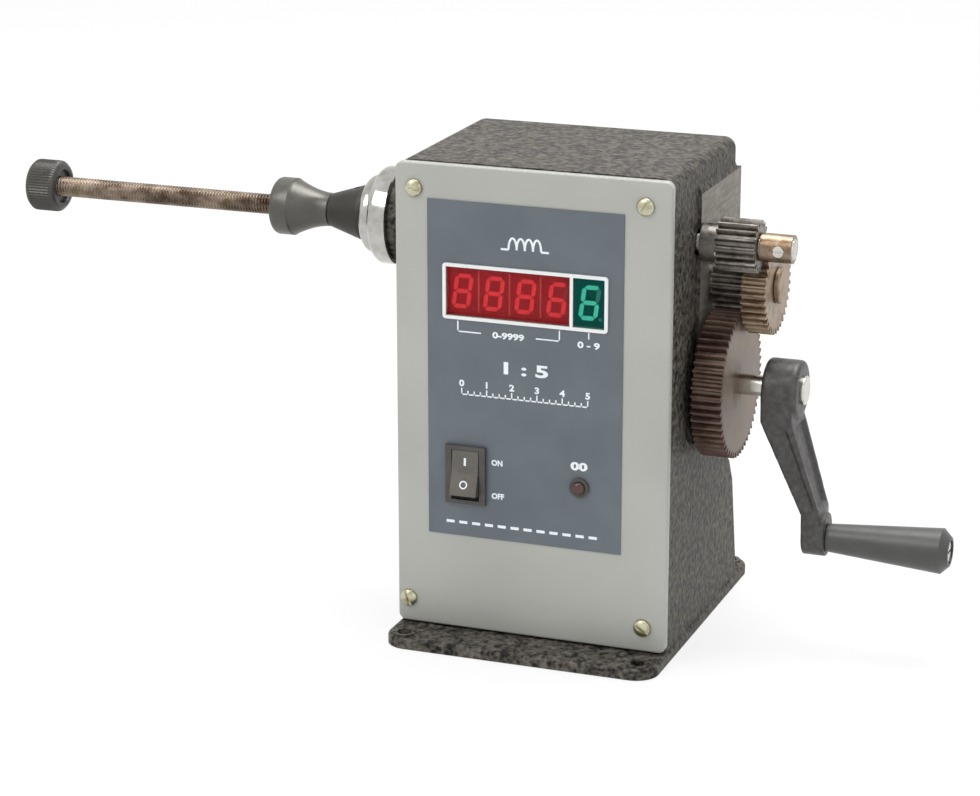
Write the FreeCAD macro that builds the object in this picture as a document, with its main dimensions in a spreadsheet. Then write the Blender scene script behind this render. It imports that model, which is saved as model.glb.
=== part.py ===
import FreeCAD, Part
import itertools
import math
import os
import re
import Sketcher

# Hand-cranked coil winding machine, in millimetres.
# Frame: origin under the middle of the base, +X towards the crank, -X towards the coil rod,
# -Y towards the front panel, +Z up. The base stands on Z = 0.

doc = FreeCAD.newDocument("coil_winding_machine")
sheet = doc.addObject("Spreadsheet::Sheet", "sizes")
places = doc.addObject("App::VarSet", "places")

# ---------------------------------------------------------------- driving sizes
SIZES = {
    # how far a cutting tool runs past what it cuts, and how far fused pieces reach into one another
    "over": 1.0,
    # cast casing, its foot flange and its rear plinth
    "base_width": 108.5,
    "base_depth": 135.0,
    "base_thickness": 4.2,
    "base_corner": 9.0,
    "base_edge_round": 1.2,
    "casing_width": 107.0,
    "casing_depth": 84.5,
    "casing_setback": 20.5,
    "casing_crown": 13.4,
    "casing_wall": 5.0,
    "casing_floor": 6.0,
    "top_round": 4.5,
    "rear_round": 5.0,
    "plinth_depth": 14.0,
    "plinth_shelf": 4.8,
    "plinth_height": 47.0,
    "plinth_slope": 9.0,
    "plinth_round": 3.0,
    "foot_hole_radius": 2.8,
    "foot_ring_radius": 4.4,
    "foot_ring_rise": 0.6,
    "foot_spacing_wide": 94.0,
    "foot_spacing_deep": 123.0,
    # machined pad on the right wall, which carries the gear train
    "pad_rise": 1.2,
    "pad_setback": 31.5,
    "pad_top_inset": 12.0,
    "pad_below_crank": 22.3,
    "pad_flank": 3.0,
    # front panel, its screws and the lugs that take them
    "panel_width": 108.0,
    "panel_thickness": 3.0,
    "panel_bottom": 5.0,
    "panel_top_gap": 0.5,
    "panel_corner": 3.0,
    "panel_edge_round": 0.8,
    "panel_screw_left_low": -49.6,
    "panel_screw_left_high": -46.4,
    "panel_screw_right_low": 45.0,
    "panel_screw_right_high": 43.9,
    "panel_screw_low": 14.5,
    "panel_screw_inset": 10.2,
    "panel_screw_radius": 1.7,
    "panel_screw_length": 12.0,
    "panel_screw_head_radius": 3.4,
    "panel_screw_head_height": 1.9,
    "panel_screw_slot": 1.0,
    "lug_half": 5.6,
    "lug_depth": 16.0,
    # printed overlay on the panel
    "overlay_left": -41.0,
    "overlay_right": 36.0,
    "overlay_bottom": 42.6,
    "overlay_top_inset": 13.7,
    "overlay_thickness": 0.4,
    # display: four red digits and one green digit behind their windows
    "window_left": -33.5,
    "window_drop": 48.2,
    "digit_width": 12.2,
    "digit_tall": 18.6,
    "digit_depth": 8.0,
    "red_digit_count": 4,
    "divider_width": 1.2,
    "bezel_width": 1.3,
    "bezel_rise": 0.7,
    "window_thickness": 1.8,
    "window_gap": 0.1,
    # circuit boards and what holds them
    "board_thickness": 1.6,
    "display_board_left": -41.0,
    "display_board_right": 41.0,
    "display_board_below": 21.8,
    "display_board_above": 21.2,
    "board_hole_inset": 3.5,
    "standoff_radius": 2.8,
    "board_screw_radius": 1.45,
    "board_screw_head_radius": 2.7,
    "board_screw_head_height": 1.8,
    "board_screw_length": 6.0,
    "board_screw_slot": 0.8,
    "power_board_gap": 1.0,
    "power_board_lug_gap": 1.5,
    "power_board_width": 24.0,
    "power_board_length": 44.0,
    "power_board_rise": 6.0,
    # what stands on the boards, placed from the nearest edges
    "chip_inset": 21.0,
    "chip_rise": 6.0,
    "chip_width": 36.0,
    "chip_depth": 4.0,
    "chip_tall": 12.0,
    "crystal_inset": 9.0,
    "crystal_rise": 8.0,
    "crystal_width": 10.0,
    "crystal_depth": 3.5,
    "crystal_tall": 4.0,
    "plug_inset": 9.0,
    "plug_rise": 26.0,
    "plug_width": 14.0,
    "plug_depth": 7.0,
    "plug_tall": 6.0,
    "capacitor_inset": 9.0,
    "capacitor_back": 14.0,
    "capacitor_radius": 6.0,
    "capacitor_tall": 18.0,
    "regulator_inset": 8.0,
    "regulator_back": 12.0,
    "regulator_width": 10.0,
    "regulator_depth": 4.5,
    "regulator_tall": 15.0,
    "bridge_inset": 13.0,
    "bridge_back": 22.0,
    "bridge_side": 8.0,
    "bridge_tall": 6.0,
    # rocker switch and push button, centred on one height
    "control_height": 67.4,
    "switch_across": -25.6,
    "switch_bezel_width": 16.0,
    "switch_bezel_tall": 23.0,
    "switch_bezel_rise": 1.6,
    "switch_body_width": 13.4,
    "switch_body_tall": 19.6,
    "switch_body_depth": 20.0,
    "cutout_gap": 0.1,
    "rocker_width": 10.6,
    "rocker_tall": 17.4,
    "rocker_side_gap": 0.3,
    "rocker_end_gap": 1.2,
    "rocker_pivot_depth": 4.0,
    "rocker_end_rise": 5.6,
    "rocker_middle_rise": 4.6,
    "rocker_keel": 3.0,
    "rocker_well": 9.0,
    "rocker_tilt": 12.0,
    "terminal_length": 8.0,
    "terminal_width": 4.8,
    "terminal_thickness": 0.8,
    "button_across": 19.7,
    "button_ring_radius": 3.75,
    "button_ring_rise": 1.2,
    "button_neck_radius": 3.4,
    "button_body_radius": 5.0,
    "button_body_length": 10.0,
    "button_nut_flats": 9.0,
    "button_nut_thickness": 2.0,
    "button_cap_radius": 2.5,
    "button_cap_rise": 1.8,
    "button_cap_length": 8.9,
    "button_cap_round": 1.4,
    "button_travel": 1.2,
    "button_slide_gap": 0.1,
    # mains transformer on the floor
    "transformer_wall_gap": 1.5,
    "transformer_back_gap": 9.5,
    "core_width": 41.0,
    "core_tall": 34.0,
    "core_stack": 15.0,
    "core_limb": 13.0,
    "core_yoke": 7.0,
    "coil_overhang": 7.0,
    "bracket_thickness": 1.2,
    "transformer_ear": 9.5,
    "transformer_strap_depth": 13.0,
    # cable gland in the rear wall, its height measured from the plinth's top
    "gland_across": 32.0,
    "gland_above_plinth": 16.0,
    "gland_bore_radius": 3.2,
    "gland_thread_radius": 6.0,
    "gland_flats": 15.0,
    "gland_collar": 5.0,
    "gland_dome": 7.0,
    "gland_dome_inset": 1.0,
    "gland_dome_round": 2.8,
    "gland_nut_thickness": 3.5,
    # turn counter: slotted disc and fork sensor
    "encoder_across": -20.0,
    "encoder_radius": 16.0,
    "encoder_thickness": 1.2,
    "encoder_slots": 4,
    "encoder_slot_width": 2.0,
    "encoder_slot_depth": 5.0,
    "encoder_hub_radius": 9.0,
    "encoder_hub_length": 8.0,
    "sensor_width": 10.0,
    "sensor_depth": 6.0,
    "sensor_tall": 14.0,
    "sensor_slot": 3.2,
    "sensor_slot_depth": 6.5,
    "sensor_overlap": 4.4,
    "sensor_plate_width": 20.0,
    "sensor_plate_overhang": 2.0,
    "sensor_plate_upstand": 19.0,
    # spindle, its bearings and the cap over the left one
    "spindle_setback": 33.0,
    "spindle_height": 156.6,
    "rod_radius": 4.0,
    "journal_radius": 5.0,
    "spindle_middle_radius": 6.0,
    "bearing_outer_radius": 13.0,
    "bearing_width": 8.0,
    "race_thickness": 2.2,
    "ball_radius": 1.75,
    "ball_count": 9,
    "fit_gap": 0.02,
    "running_gap": 0.05,
    "end_gap": 0.3,
    "boss_radius": 17.0,
    "boss_length": 12.0,
    "inner_boss_depth": 12.0,
    "bearing_lip": 9.0,
    "shaft_hole_gap": 1.0,
    "cap_radius": 19.0,
    "cap_flange": 8.5,
    "cap_hub_radius": 15.2,
    "cap_hub_length": 5.0,
    "cap_round": 3.0,
    "cap_spigot": 0.5,
    # cones, coil rod and end nut
    "cone_gap": 0.8,
    "cone_length": 15.0,
    "cone_land": 1.5,
    "cone_wide_radius": 10.8,
    "cone_narrow_radius": 6.5,
    "outer_cone_length": 23.0,
    "outer_cone_band": 8.0,
    "outer_cone_radius": 11.2,
    "outer_cone_chamfer": 1.0,
    "cone_meeting_gap": 0.3,
    "rod_free_length": 94.5,
    "nut_length": 13.0,
    "nut_radius": 10.3,
    "nut_chamfer": 1.6,
    "nut_recess_radius": 6.6,
    "nut_recess_depth": 1.5,
    "grub_radius": 2.0,
    "grub_sink": 0.4,
    "cone_grub_setback": 4.0,
    "cone_grub_sink": 2.8,
    # gear train
    "gear_module": 1.0,
    "pressure_angle": 20.0,
    "tooth_play": 0.16,
    "spindle_pinion_teeth": 18,
    "idler_gear_teeth": 36,
    "idler_pinion_teeth": 22,
    "drive_gear_teeth": 55,
    "idler_angle": 45.0,
    "drive_angle": 14.8,
    "drive_gear_gap": 2.2,
    "drive_gear_width": 11.6,
    "gear_plane_gap": 1.3,
    "idler_gear_width": 9.4,
    "idler_pinion_overlap": 0.8,
    "idler_sleeve_radius": 8.0,
    "idler_bush_radius": 5.5,
    "pinion_hub_gap": 0.7,
    "pinion_hub_length": 6.6,
    "pinion_hub_radius": 7.2,
    "pinion_width": 15.3,
    "tail_collar_gap": 0.5,
    "tail_collar_length": 12.2,
    "tail_collar_radius": 5.4,
    "tail_reach": 0.6,
    "tail_screw_radius": 2.1,
    "tail_screw_rise": 0.7,
    "tail_screw_inset": 4.6,
    "tail_screw_slot": 0.8,
    "stud_radius": 4.0,
    "stud_head_radius": 7.0,
    "stud_head_height": 2.0,
    "stud_chamfer": 0.5,
    "stud_nut_flats": 13.0,
    "stud_nut_thickness": 5.0,
    "stud_end_length": 1.5,
    # crank, its shaft and its grip
    "crank_shaft_radius": 4.0,
    "crank_bush_radius": 6.5,
    "crank_bush_flange_radius": 8.0,
    "crank_bush_flange": 1.5,
    "crank_boss_radius": 10.5,
    "crank_boss_depth": 20.0,
    "shaft_collar_radius": 8.0,
    "shaft_collar_length": 6.0,
    "shaft_tail": 1.0,
    "shaft_flat_depth": 0.5,
    "drive_hub_radius": 8.0,
    "drive_hub_gap": 0.3,
    "key_width": 2.5,
    "key_height": 2.5,
    "crank_gap": 10.4,
    "crank_hub_radius": 11.3,
    "crank_hub_length": 13.8,
    "crank_hub_round": 1.6,
    "crank_screw_radius": 2.5,
    "crank_screw_length": 12.0,
    "crank_screw_head_radius": 5.6,
    "crank_screw_head_height": 1.5,
    "crank_screw_round": 0.6,
    "crank_throw": 57.3,
    "crank_offset": 16.2,
    "crank_upper_bend": 11.3,
    "crank_lower_bend": 47.0,
    "crank_web_high": 12.2,
    "crank_web_low": 7.3,
    "crank_web_inset": 0.45,
    "crank_boss_end_radius": 7.2,
    "crank_boss_length": 8.9,
    "crank_boss_rise": 2.6,
    "crank_rim": 2.4,
    "crank_recess": 1.3,
    "crank_groove_share": 0.68,
    "crank_groove_width": 1.8,
    "crank_groove_depth": 1.0,
    "grip_length": 47.1,
    "grip_small_radius": 5.4,
    "grip_large_radius": 8.7,
    "grip_chamfer": 3.1,
    "grip_bore_gap": 0.1,
    "grip_pin_radius": 3.0,
    "grip_pin_thread_radius": 2.4,
    "grip_pin_head_radius": 3.9,
    "grip_pin_head_height": 2.4,
    "grip_pin_inset": 1.0,
    "grip_pin_slot": 1.0,
    "grip_socket_radius": 4.5,
    "grip_socket_depth": 3.2,
}

# where the panel's four screws stand, across and up
PANEL_SCREWS = (("panel_screw_left_low", "panel_screw_low"), ("panel_screw_left_high", "panel_screw_high"),
                ("panel_screw_right_low", "panel_screw_low"), ("panel_screw_right_high", "panel_screw_high"))
# the outer cone's hollow flank: shares of its taper's length, with the share of the radius left there
CONE_FLANK = ((0.34, 0.50), (0.67, 0.17))

for row, (name, value) in enumerate(SIZES.items(), start=1):
    sheet.set(f"A{row}", name)
    sheet.set(f"B{row}", str(value))
    sheet.setAlias(f"B{row}", name)
doc.recompute()

WORD = re.compile(r"[a-z_][a-z0-9_]*")
place_names = set()


def formula(text):
    """Point each name in a formula at the sheet or at the set of worked-out places."""

    def owner(match):
        word = match.group(0)
        if word in SIZES:
            return "sizes." + word
        if word in place_names:
            return "places." + word
        return word

    return WORD.sub(owner, str(text))


def place(name, text):
    """A place or size that follows from the sheet, usable by name in every later formula."""
    places.addProperty("App::PropertyFloat", name, "Places")
    places.setExpression(name, formula(text))
    place_names.add(name)


def number(name):
    """The present value of a size or place, for shapes that are built by their own functions."""
    if name in SIZES:
        return float(sheet.get(name))
    return float(getattr(places, name))


# ---------------------------------------------------------------- worked-out places
place("casing_half", "casing_width / 2")
place("inner_half", "casing_half - casing_wall")
place("casing_front", "casing_setback - base_depth / 2")
place("casing_back", "casing_front + casing_depth")
place("inner_back", "casing_back - casing_wall")
place("casing_top", "spindle_height + boss_radius + casing_crown")
place("inner_top", "casing_top - casing_wall")
place("panel_face", "casing_front - panel_thickness")
place("overlay_face", "panel_face - overlay_thickness")
place("pad_face", "casing_half + pad_rise")
place("boss_face", "casing_half + boss_length")
place("spindle_back", "casing_front + spindle_setback")
place("pad_front", "casing_front + pad_setback")
place("pad_top", "casing_top - pad_top_inset")
place("panel_top", "casing_top - panel_top_gap")
place("panel_screw_high", "casing_top - panel_screw_inset")
place("overlay_top", "casing_top - overlay_top_inset")
# display, from left to right
place("window_height", "casing_top - window_drop")
place("display_board_bottom", "window_height - display_board_below")
place("display_board_top", "window_height + display_board_above")
place("red_width", "red_digit_count * digit_width")
place("green_left", "window_left + window_gap + red_width + divider_width")
place("window_right", "green_left + digit_width + window_gap")
place("window_low", "window_height - digit_tall / 2 - window_gap")
place("window_high", "window_height + digit_tall / 2 + window_gap")
place("digit_front", "overlay_face + window_thickness")
place("display_board_front", "digit_front + digit_depth")
# mains side: the strap lies by the left wall, and the power board between it and the right wall
place("transformer_strap_width", "core_width + 2 * transformer_ear")
place("transformer_across", "transformer_wall_gap + transformer_strap_width / 2 - inner_half")
place("transformer_back", "inner_back - transformer_back_gap - coil_overhang - core_stack / 2")
place("power_board_left", "transformer_across + transformer_strap_width / 2 + power_board_gap")
place("power_board_right", "power_board_left + power_board_width")
place("power_board_front", "casing_front + lug_depth + power_board_lug_gap")
place("power_board_back", "power_board_front + power_board_length")
place("gland_height", "plinth_height + plinth_slope + gland_above_plinth")
# controls
place("switch_face", "overlay_face - switch_bezel_rise")
place("rocker_pivot", "switch_face + rocker_pivot_depth")
place("button_face", "overlay_face - button_ring_rise")
place("button_shoulder", "casing_front + button_nut_thickness + cutout_gap")
# spindle line, from left to right
place("bearing_left", "-boss_face + cap_spigot")
place("cap_step", "-boss_face - cap_flange")
place("cap_end", "cap_step - cap_hub_length")
place("cone_wide_end", "cap_end - cone_gap")
place("cone_meeting", "cone_wide_end - cone_length")
place("outer_cone_start", "cone_meeting - cone_meeting_gap - outer_cone_length")
place("nut_face", "outer_cone_start - rod_free_length")
place("nut_end", "nut_face - nut_length")
place("inner_boss_end", "inner_half - inner_boss_depth")
place("bearing_right", "inner_boss_end + cap_spigot")
place("race_inner_radius", "journal_radius + race_thickness")
place("race_outer_radius", "bearing_outer_radius - race_thickness")
place("ball_circle_radius", "(race_inner_radius + race_outer_radius) / 2")
place("spindle_step_right", "bearing_right + bearing_width + end_gap")
place("pinion_hub_start", "pad_face + pinion_hub_gap")
place("pinion_teeth_start", "pinion_hub_start + pinion_hub_length")
place("pinion_end", "pinion_teeth_start + pinion_width")
place("tail_collar_start", "pinion_end + tail_collar_gap")
place("tail_collar_end", "tail_collar_start + tail_collar_length")
# gear axes
place("idler_distance", "gear_module * (spindle_pinion_teeth + idler_gear_teeth) / 2")
place("drive_distance", "gear_module * (idler_pinion_teeth + drive_gear_teeth) / 2")
place("idler_back", "spindle_back + idler_distance * sin(idler_angle)")
place("idler_height", "spindle_height - idler_distance * cos(idler_angle)")
place("crank_back", "idler_back - drive_distance * sin(drive_angle)")
place("crank_height", "idler_height - drive_distance * cos(drive_angle)")
place("pad_bottom", "crank_height - pad_below_crank")
# gear planes
place("drive_gear_start", "pad_face + drive_gear_gap")
place("drive_gear_end", "drive_gear_start + drive_gear_width")
place("idler_gear_start", "drive_gear_end + gear_plane_gap")
place("idler_gear_end", "idler_gear_start + idler_gear_width")
place("idler_pinion_start", "drive_gear_start - idler_pinion_overlap")
place("idler_pinion_end", "drive_gear_end + idler_pinion_overlap")
# crank
place("crank_bush_end", "inner_half - crank_boss_depth")
place("shaft_collar_start", "crank_bush_end - end_gap - shaft_collar_length")
place("crank_shaft_start", "shaft_collar_start - shaft_tail")
place("crank_hub_start", "drive_gear_end + crank_gap")
place("crank_hub_end", "crank_hub_start + crank_hub_length")
place("crank_web_end", "crank_offset + crank_web_low")
place("crank_slant", "crank_lower_bend - crank_upper_bend")
place("crank_lean", "(crank_web_end - crank_web_high) / crank_slant")
place("crank_inner_lean", "crank_offset / crank_slant")
place("groove_high", "(1 - crank_groove_share) * crank_inner_lean * crank_rim"
      " + crank_groove_share * (crank_web_high + crank_lean * crank_rim)")
place("groove_low", "(1 - crank_groove_share) * (crank_offset - crank_inner_lean * crank_rim)"
      " + crank_groove_share * (crank_web_end - crank_lean * crank_rim)")
place("crank_boss_start", "crank_hub_start + crank_offset")
place("crank_boss_end", "crank_boss_start + crank_boss_length")
place("grip_start", "crank_boss_end + end_gap")
place("grip_end", "grip_start + grip_length")
place("grip_height", "crank_height - crank_throw")
# turn counter
place("encoder_low", "spindle_height - encoder_radius")
place("sensor_top", "encoder_low + sensor_overlap")
place("sensor_bottom", "sensor_top - sensor_tall")
place("power_board_bottom", "casing_floor + power_board_rise")
doc.recompute()

# ---------------------------------------------------------------- building helpers
parts = []
steps = itertools.count(1)


def scratch_name(stem):
    """An internal name for a construction step; only finished sub-parts get a label."""
    return f"{stem}_{next(steps):03d}"


def finished(label, shape_object):
    """Name a finished sub-part and keep it for export."""
    shape_object.Label = label
    parts.append(shape_object)
    return shape_object


def bind(target, **formulas):
    for name, text in formulas.items():
        target.setExpression(name, formula(text))
    return target


def put(target, across, back, height):
    bind(target, **{".Placement.Base.x": across, ".Placement.Base.y": back,
                    ".Placement.Base.z": height})
    return target


def box(across, back, height, wide, deep, tall):
    """A box from its lowest corner and its three lengths."""
    solid = doc.addObject("Part::Box", scratch_name("box"))
    bind(solid, Length=wide, Width=deep, Height=tall)
    return put(solid, across, back, height)


def rod(axis, radius, length, across, back, height):
    """A cylinder along X, Y or Z that starts at the point given."""
    solid = doc.addObject("Part::Cylinder", scratch_name("rod"))
    turn = {"X": FreeCAD.Rotation(FreeCAD.Vector(0, 1, 0), 90),
            "Y": FreeCAD.Rotation(FreeCAD.Vector(1, 0, 0), -90),
            "Z": FreeCAD.Rotation()}[axis]
    solid.Placement = FreeCAD.Placement(FreeCAD.Vector(), turn)
    bind(solid, Radius=radius, Height=length)
    return put(solid, across, back, height)


def hexagon(axis, flats, length, across, back, height):
    """A hexagonal prism along X or Y, measured across its flats."""
    solid = doc.addObject("Part::Prism", scratch_name("hexagon"))
    solid.Polygon = 6
    turn = {"X": FreeCAD.Rotation(FreeCAD.Vector(0, 1, 0), 90),
            "Y": FreeCAD.Rotation(FreeCAD.Vector(1, 0, 0), -90)}[axis]
    solid.Placement = FreeCAD.Placement(FreeCAD.Vector(), turn)
    bind(solid, Circumradius=f"({flats}) / 2 / cos(30)", Height=length)
    return put(solid, across, back, height)


def fuse(*solids):
    joined = doc.addObject("Part::MultiFuse", scratch_name("fuse"))
    joined.Shapes = list(solids)
    joined.Refine = True
    return joined


def cut(base, *tools):
    """Base less its tools."""
    result = doc.addObject("Part::Cut", scratch_name("cut"))
    result.Base = base
    result.Tool = tools[0] if len(tools) == 1 else fuse(*tools)
    result.Refine = True
    return result


def common(first, second):
    result = doc.addObject("Part::Common", scratch_name("common"))
    result.Base = first
    result.Tool = second
    return result


def group(*solids):
    """Separate solids that share one node."""
    several = doc.addObject("Part::Compound", scratch_name("group"))
    several.Links = list(solids)
    return several


def rounded(base, *rounds):
    """Fillet the edges that each rule picks, with the radius that goes with it."""
    doc.recompute()
    result = doc.addObject("Part::Fillet", scratch_name("fillet"))
    result.Base = base
    picked = []
    for radius, rule in rounds:
        for index, edge in enumerate(base.Shape.Edges, start=1):
            if rule(edge):
                picked.append((index, radius, radius))
    result.Edges = picked
    return result


def along(edge, axis):
    """True for a straight edge along one axis, 0 for X, 1 for Y or 2 for Z."""
    if len(edge.Vertexes) != 2:
        return False
    step = edge.Vertexes[1].Point - edge.Vertexes[0].Point
    return abs(abs(step[axis]) - step.Length) < 1e-6


def at(edge, axis, value):
    """True where the edge's middle lies at a coordinate."""
    return abs(edge.BoundBox.Center[axis] - value) < 1e-3


def outline(body, plane, points):
    """A closed polygon sketch on one of a body's own planes, each corner held by two sizes."""
    sketch = body.newObject("Sketcher::SketchObject", scratch_name("outline"))
    support = [item for item in body.Origin.OriginFeatures if item.Role == plane][0]
    sketch.AttachmentSupport = [(support, "")]
    sketch.MapMode = "FlatFace"
    count = len(points)
    start = [(math.cos(2 * math.pi * i / count) + 2, math.sin(2 * math.pi * i / count) + 2)
             for i in range(count)]
    for i in range(count):
        here = FreeCAD.Vector(*start[i], 0)
        there = FreeCAD.Vector(*start[(i + 1) % count], 0)
        sketch.addGeometry(Part.LineSegment(here, there), False)
    for i in range(count):
        sketch.addConstraint(Sketcher.Constraint("Coincident", i, 2, (i + 1) % count, 1))
    for i, (first, second) in enumerate(points):
        for kind, text, axis in (("DistanceX", first, -2), ("DistanceY", second, -1)):
            if str(text) == "0":
                sketch.addConstraint(Sketcher.Constraint("PointOnObject", i, 1, axis))
                continue
            made = sketch.addConstraint(Sketcher.Constraint(kind, -1, 1, i, 1, 1.0))
            name = f"corner{i}_{kind}"
            sketch.renameConstraint(made, name)
            sketch.setExpression(f"Constraints.{name}", formula(text))
    return sketch


def new_body():
    return doc.addObject("PartDesign::Body", scratch_name("body"))


def turned(across, back, height, profile):
    """A solid of revolution about a line along X: (distance from the left end, radius) corners."""
    body = new_body()
    sketch = outline(body, "XY_Plane", profile)
    spin = body.newObject("PartDesign::Revolution", scratch_name("turning"))
    spin.Profile = sketch
    spin.ReferenceAxis = (sketch, ["H_Axis"])
    spin.Angle = 360
    return put(body, across, back, height)


def prism(plane, points, length, across, back, height):
    """A polygon on the XY, XZ or YZ plane, thickened along +Z, +Y or +X."""
    body = new_body()
    sketch = outline(body, plane + "_Plane", points)
    pad = body.newObject("PartDesign::Pad", scratch_name("pad"))
    pad.Profile = sketch
    pad.Reversed = plane == "XZ"
    bind(pad, Length=length)
    return put(body, across, back, height)


def on_spindle(solid, across, turn=0.0):
    """Stand a radial solid on the spindle line, turned about it."""
    solid.Placement = FreeCAD.Placement(FreeCAD.Vector(), FreeCAD.Rotation(FreeCAD.Vector(1, 0, 0), turn))
    return put(solid, across, "spindle_back", "spindle_height")


def screw(axis_sign, shank_radius, shank_length, head_radius, head_height, slot, across, back, height):
    """A slotted pan-head screw along Y whose head's underside is at the point given.

    The head looks along -Y when axis_sign is 1, and along +Y when it is -1."""
    if axis_sign > 0:
        shank = rod("Y", shank_radius, shank_length, across, back, height)
        head = rod("Y", head_radius, head_height, across, f"{back} - {head_height}", height)
        groove_back = f"{back} - {head_height}"
    else:
        shank = rod("Y", shank_radius, shank_length, across, f"{back} - ({shank_length})", height)
        head = rod("Y", head_radius, head_height, across, back, height)
        groove_back = f"{back} + {head_height} / 2"
    groove = box(f"{across} - {head_radius}", groove_back, f"{height} - {slot} / 2",
                 f"2 * {head_radius}", f"{head_height} / 2", slot)
    return cut(fuse(shank, head), groove)


# ---------------------------------------------------------------- toothed wheels
def tooth_edges(teeth, module, pressure, play, clearance_share=0.25, flank_points=6):
    """The edges of one involute tooth and the root arc after it, about the origin in the XY plane."""
    pitch = module * teeth / 2
    base = pitch * math.cos(pressure)
    tip = pitch + module
    root = pitch - module * (1 + clearance_share)
    half_pitch_angle = (math.pi * module / 2 - play) / 2 / pitch

    def involute(angle):
        return math.tan(angle) - angle

    def half_angle(radius):
        """Half of the tooth's angle at a radius outside the base circle."""
        return half_pitch_angle + involute(pressure) - involute(math.acos(min(1.0, base / radius)))

    def point(radius, angle):
        return FreeCAD.Vector(radius * math.cos(angle), radius * math.sin(angle), 0)

    flank_start = max(base, root) * 1.0001
    radii = [flank_start + (tip - flank_start) * i / (flank_points - 1) for i in range(flank_points)]
    rising = [point(r, -half_angle(r)) for r in radii]
    falling = [point(r, half_angle(r)) for r in reversed(radii)]
    foot = half_angle(flank_start)
    step = 2 * math.pi / teeth
    edges = []
    if root < flank_start:
        edges.append(Part.LineSegment(point(root, -foot), rising[0]).toShape())
    rise = Part.BSplineCurve()
    rise.interpolate(rising)
    edges.append(rise.toShape())
    edges.append(Part.Arc(rising[-1], point(tip, 0), falling[0]).toShape())
    fall = Part.BSplineCurve()
    fall.interpolate(falling)
    edges.append(fall.toShape())
    if root < flank_start:
        edges.append(Part.LineSegment(falling[-1], point(root, foot)).toShape())
    edges.append(Part.Arc(point(root, foot), point(root, step / 2), point(root, step - foot)).toShape())
    return edges


def toothed_wheel(stem, teeth_name, width_name, first_tooth, start, back, height):
    """A spur wheel along X with its first tooth's middle at an angle from +Y towards +Z."""
    teeth = round(number(teeth_name))
    edges = []
    for i in range(teeth):
        turn = FreeCAD.Rotation(FreeCAD.Vector(0, 0, 1), 360.0 * i / teeth)
        for edge in tooth_edges(teeth, number("gear_module"), math.radians(number("pressure_angle")),
                                number("tooth_play")):
            copy = edge.copy()
            copy.Placement = FreeCAD.Placement(FreeCAD.Vector(), turn)
            edges.append(copy)
    wire = Part.Wire(Part.__sortEdges__(edges))
    wheel = doc.addObject("Part::Feature", scratch_name(stem))
    wheel.Shape = Part.Face(wire).extrude(FreeCAD.Vector(0, 0, number(width_name)))
    spin = FreeCAD.Rotation(FreeCAD.Vector(0, 0, 1), first_tooth)
    # the wheel's own X, Y and Z become the frame's Y, Z and X
    stand = FreeCAD.Rotation(FreeCAD.Vector(1, 1, 1), 120)
    spot = FreeCAD.Vector(number(start), number(back), number(height))
    wheel.Placement = FreeCAD.Placement(spot, stand.multiply(spin))
    return wheel


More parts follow.
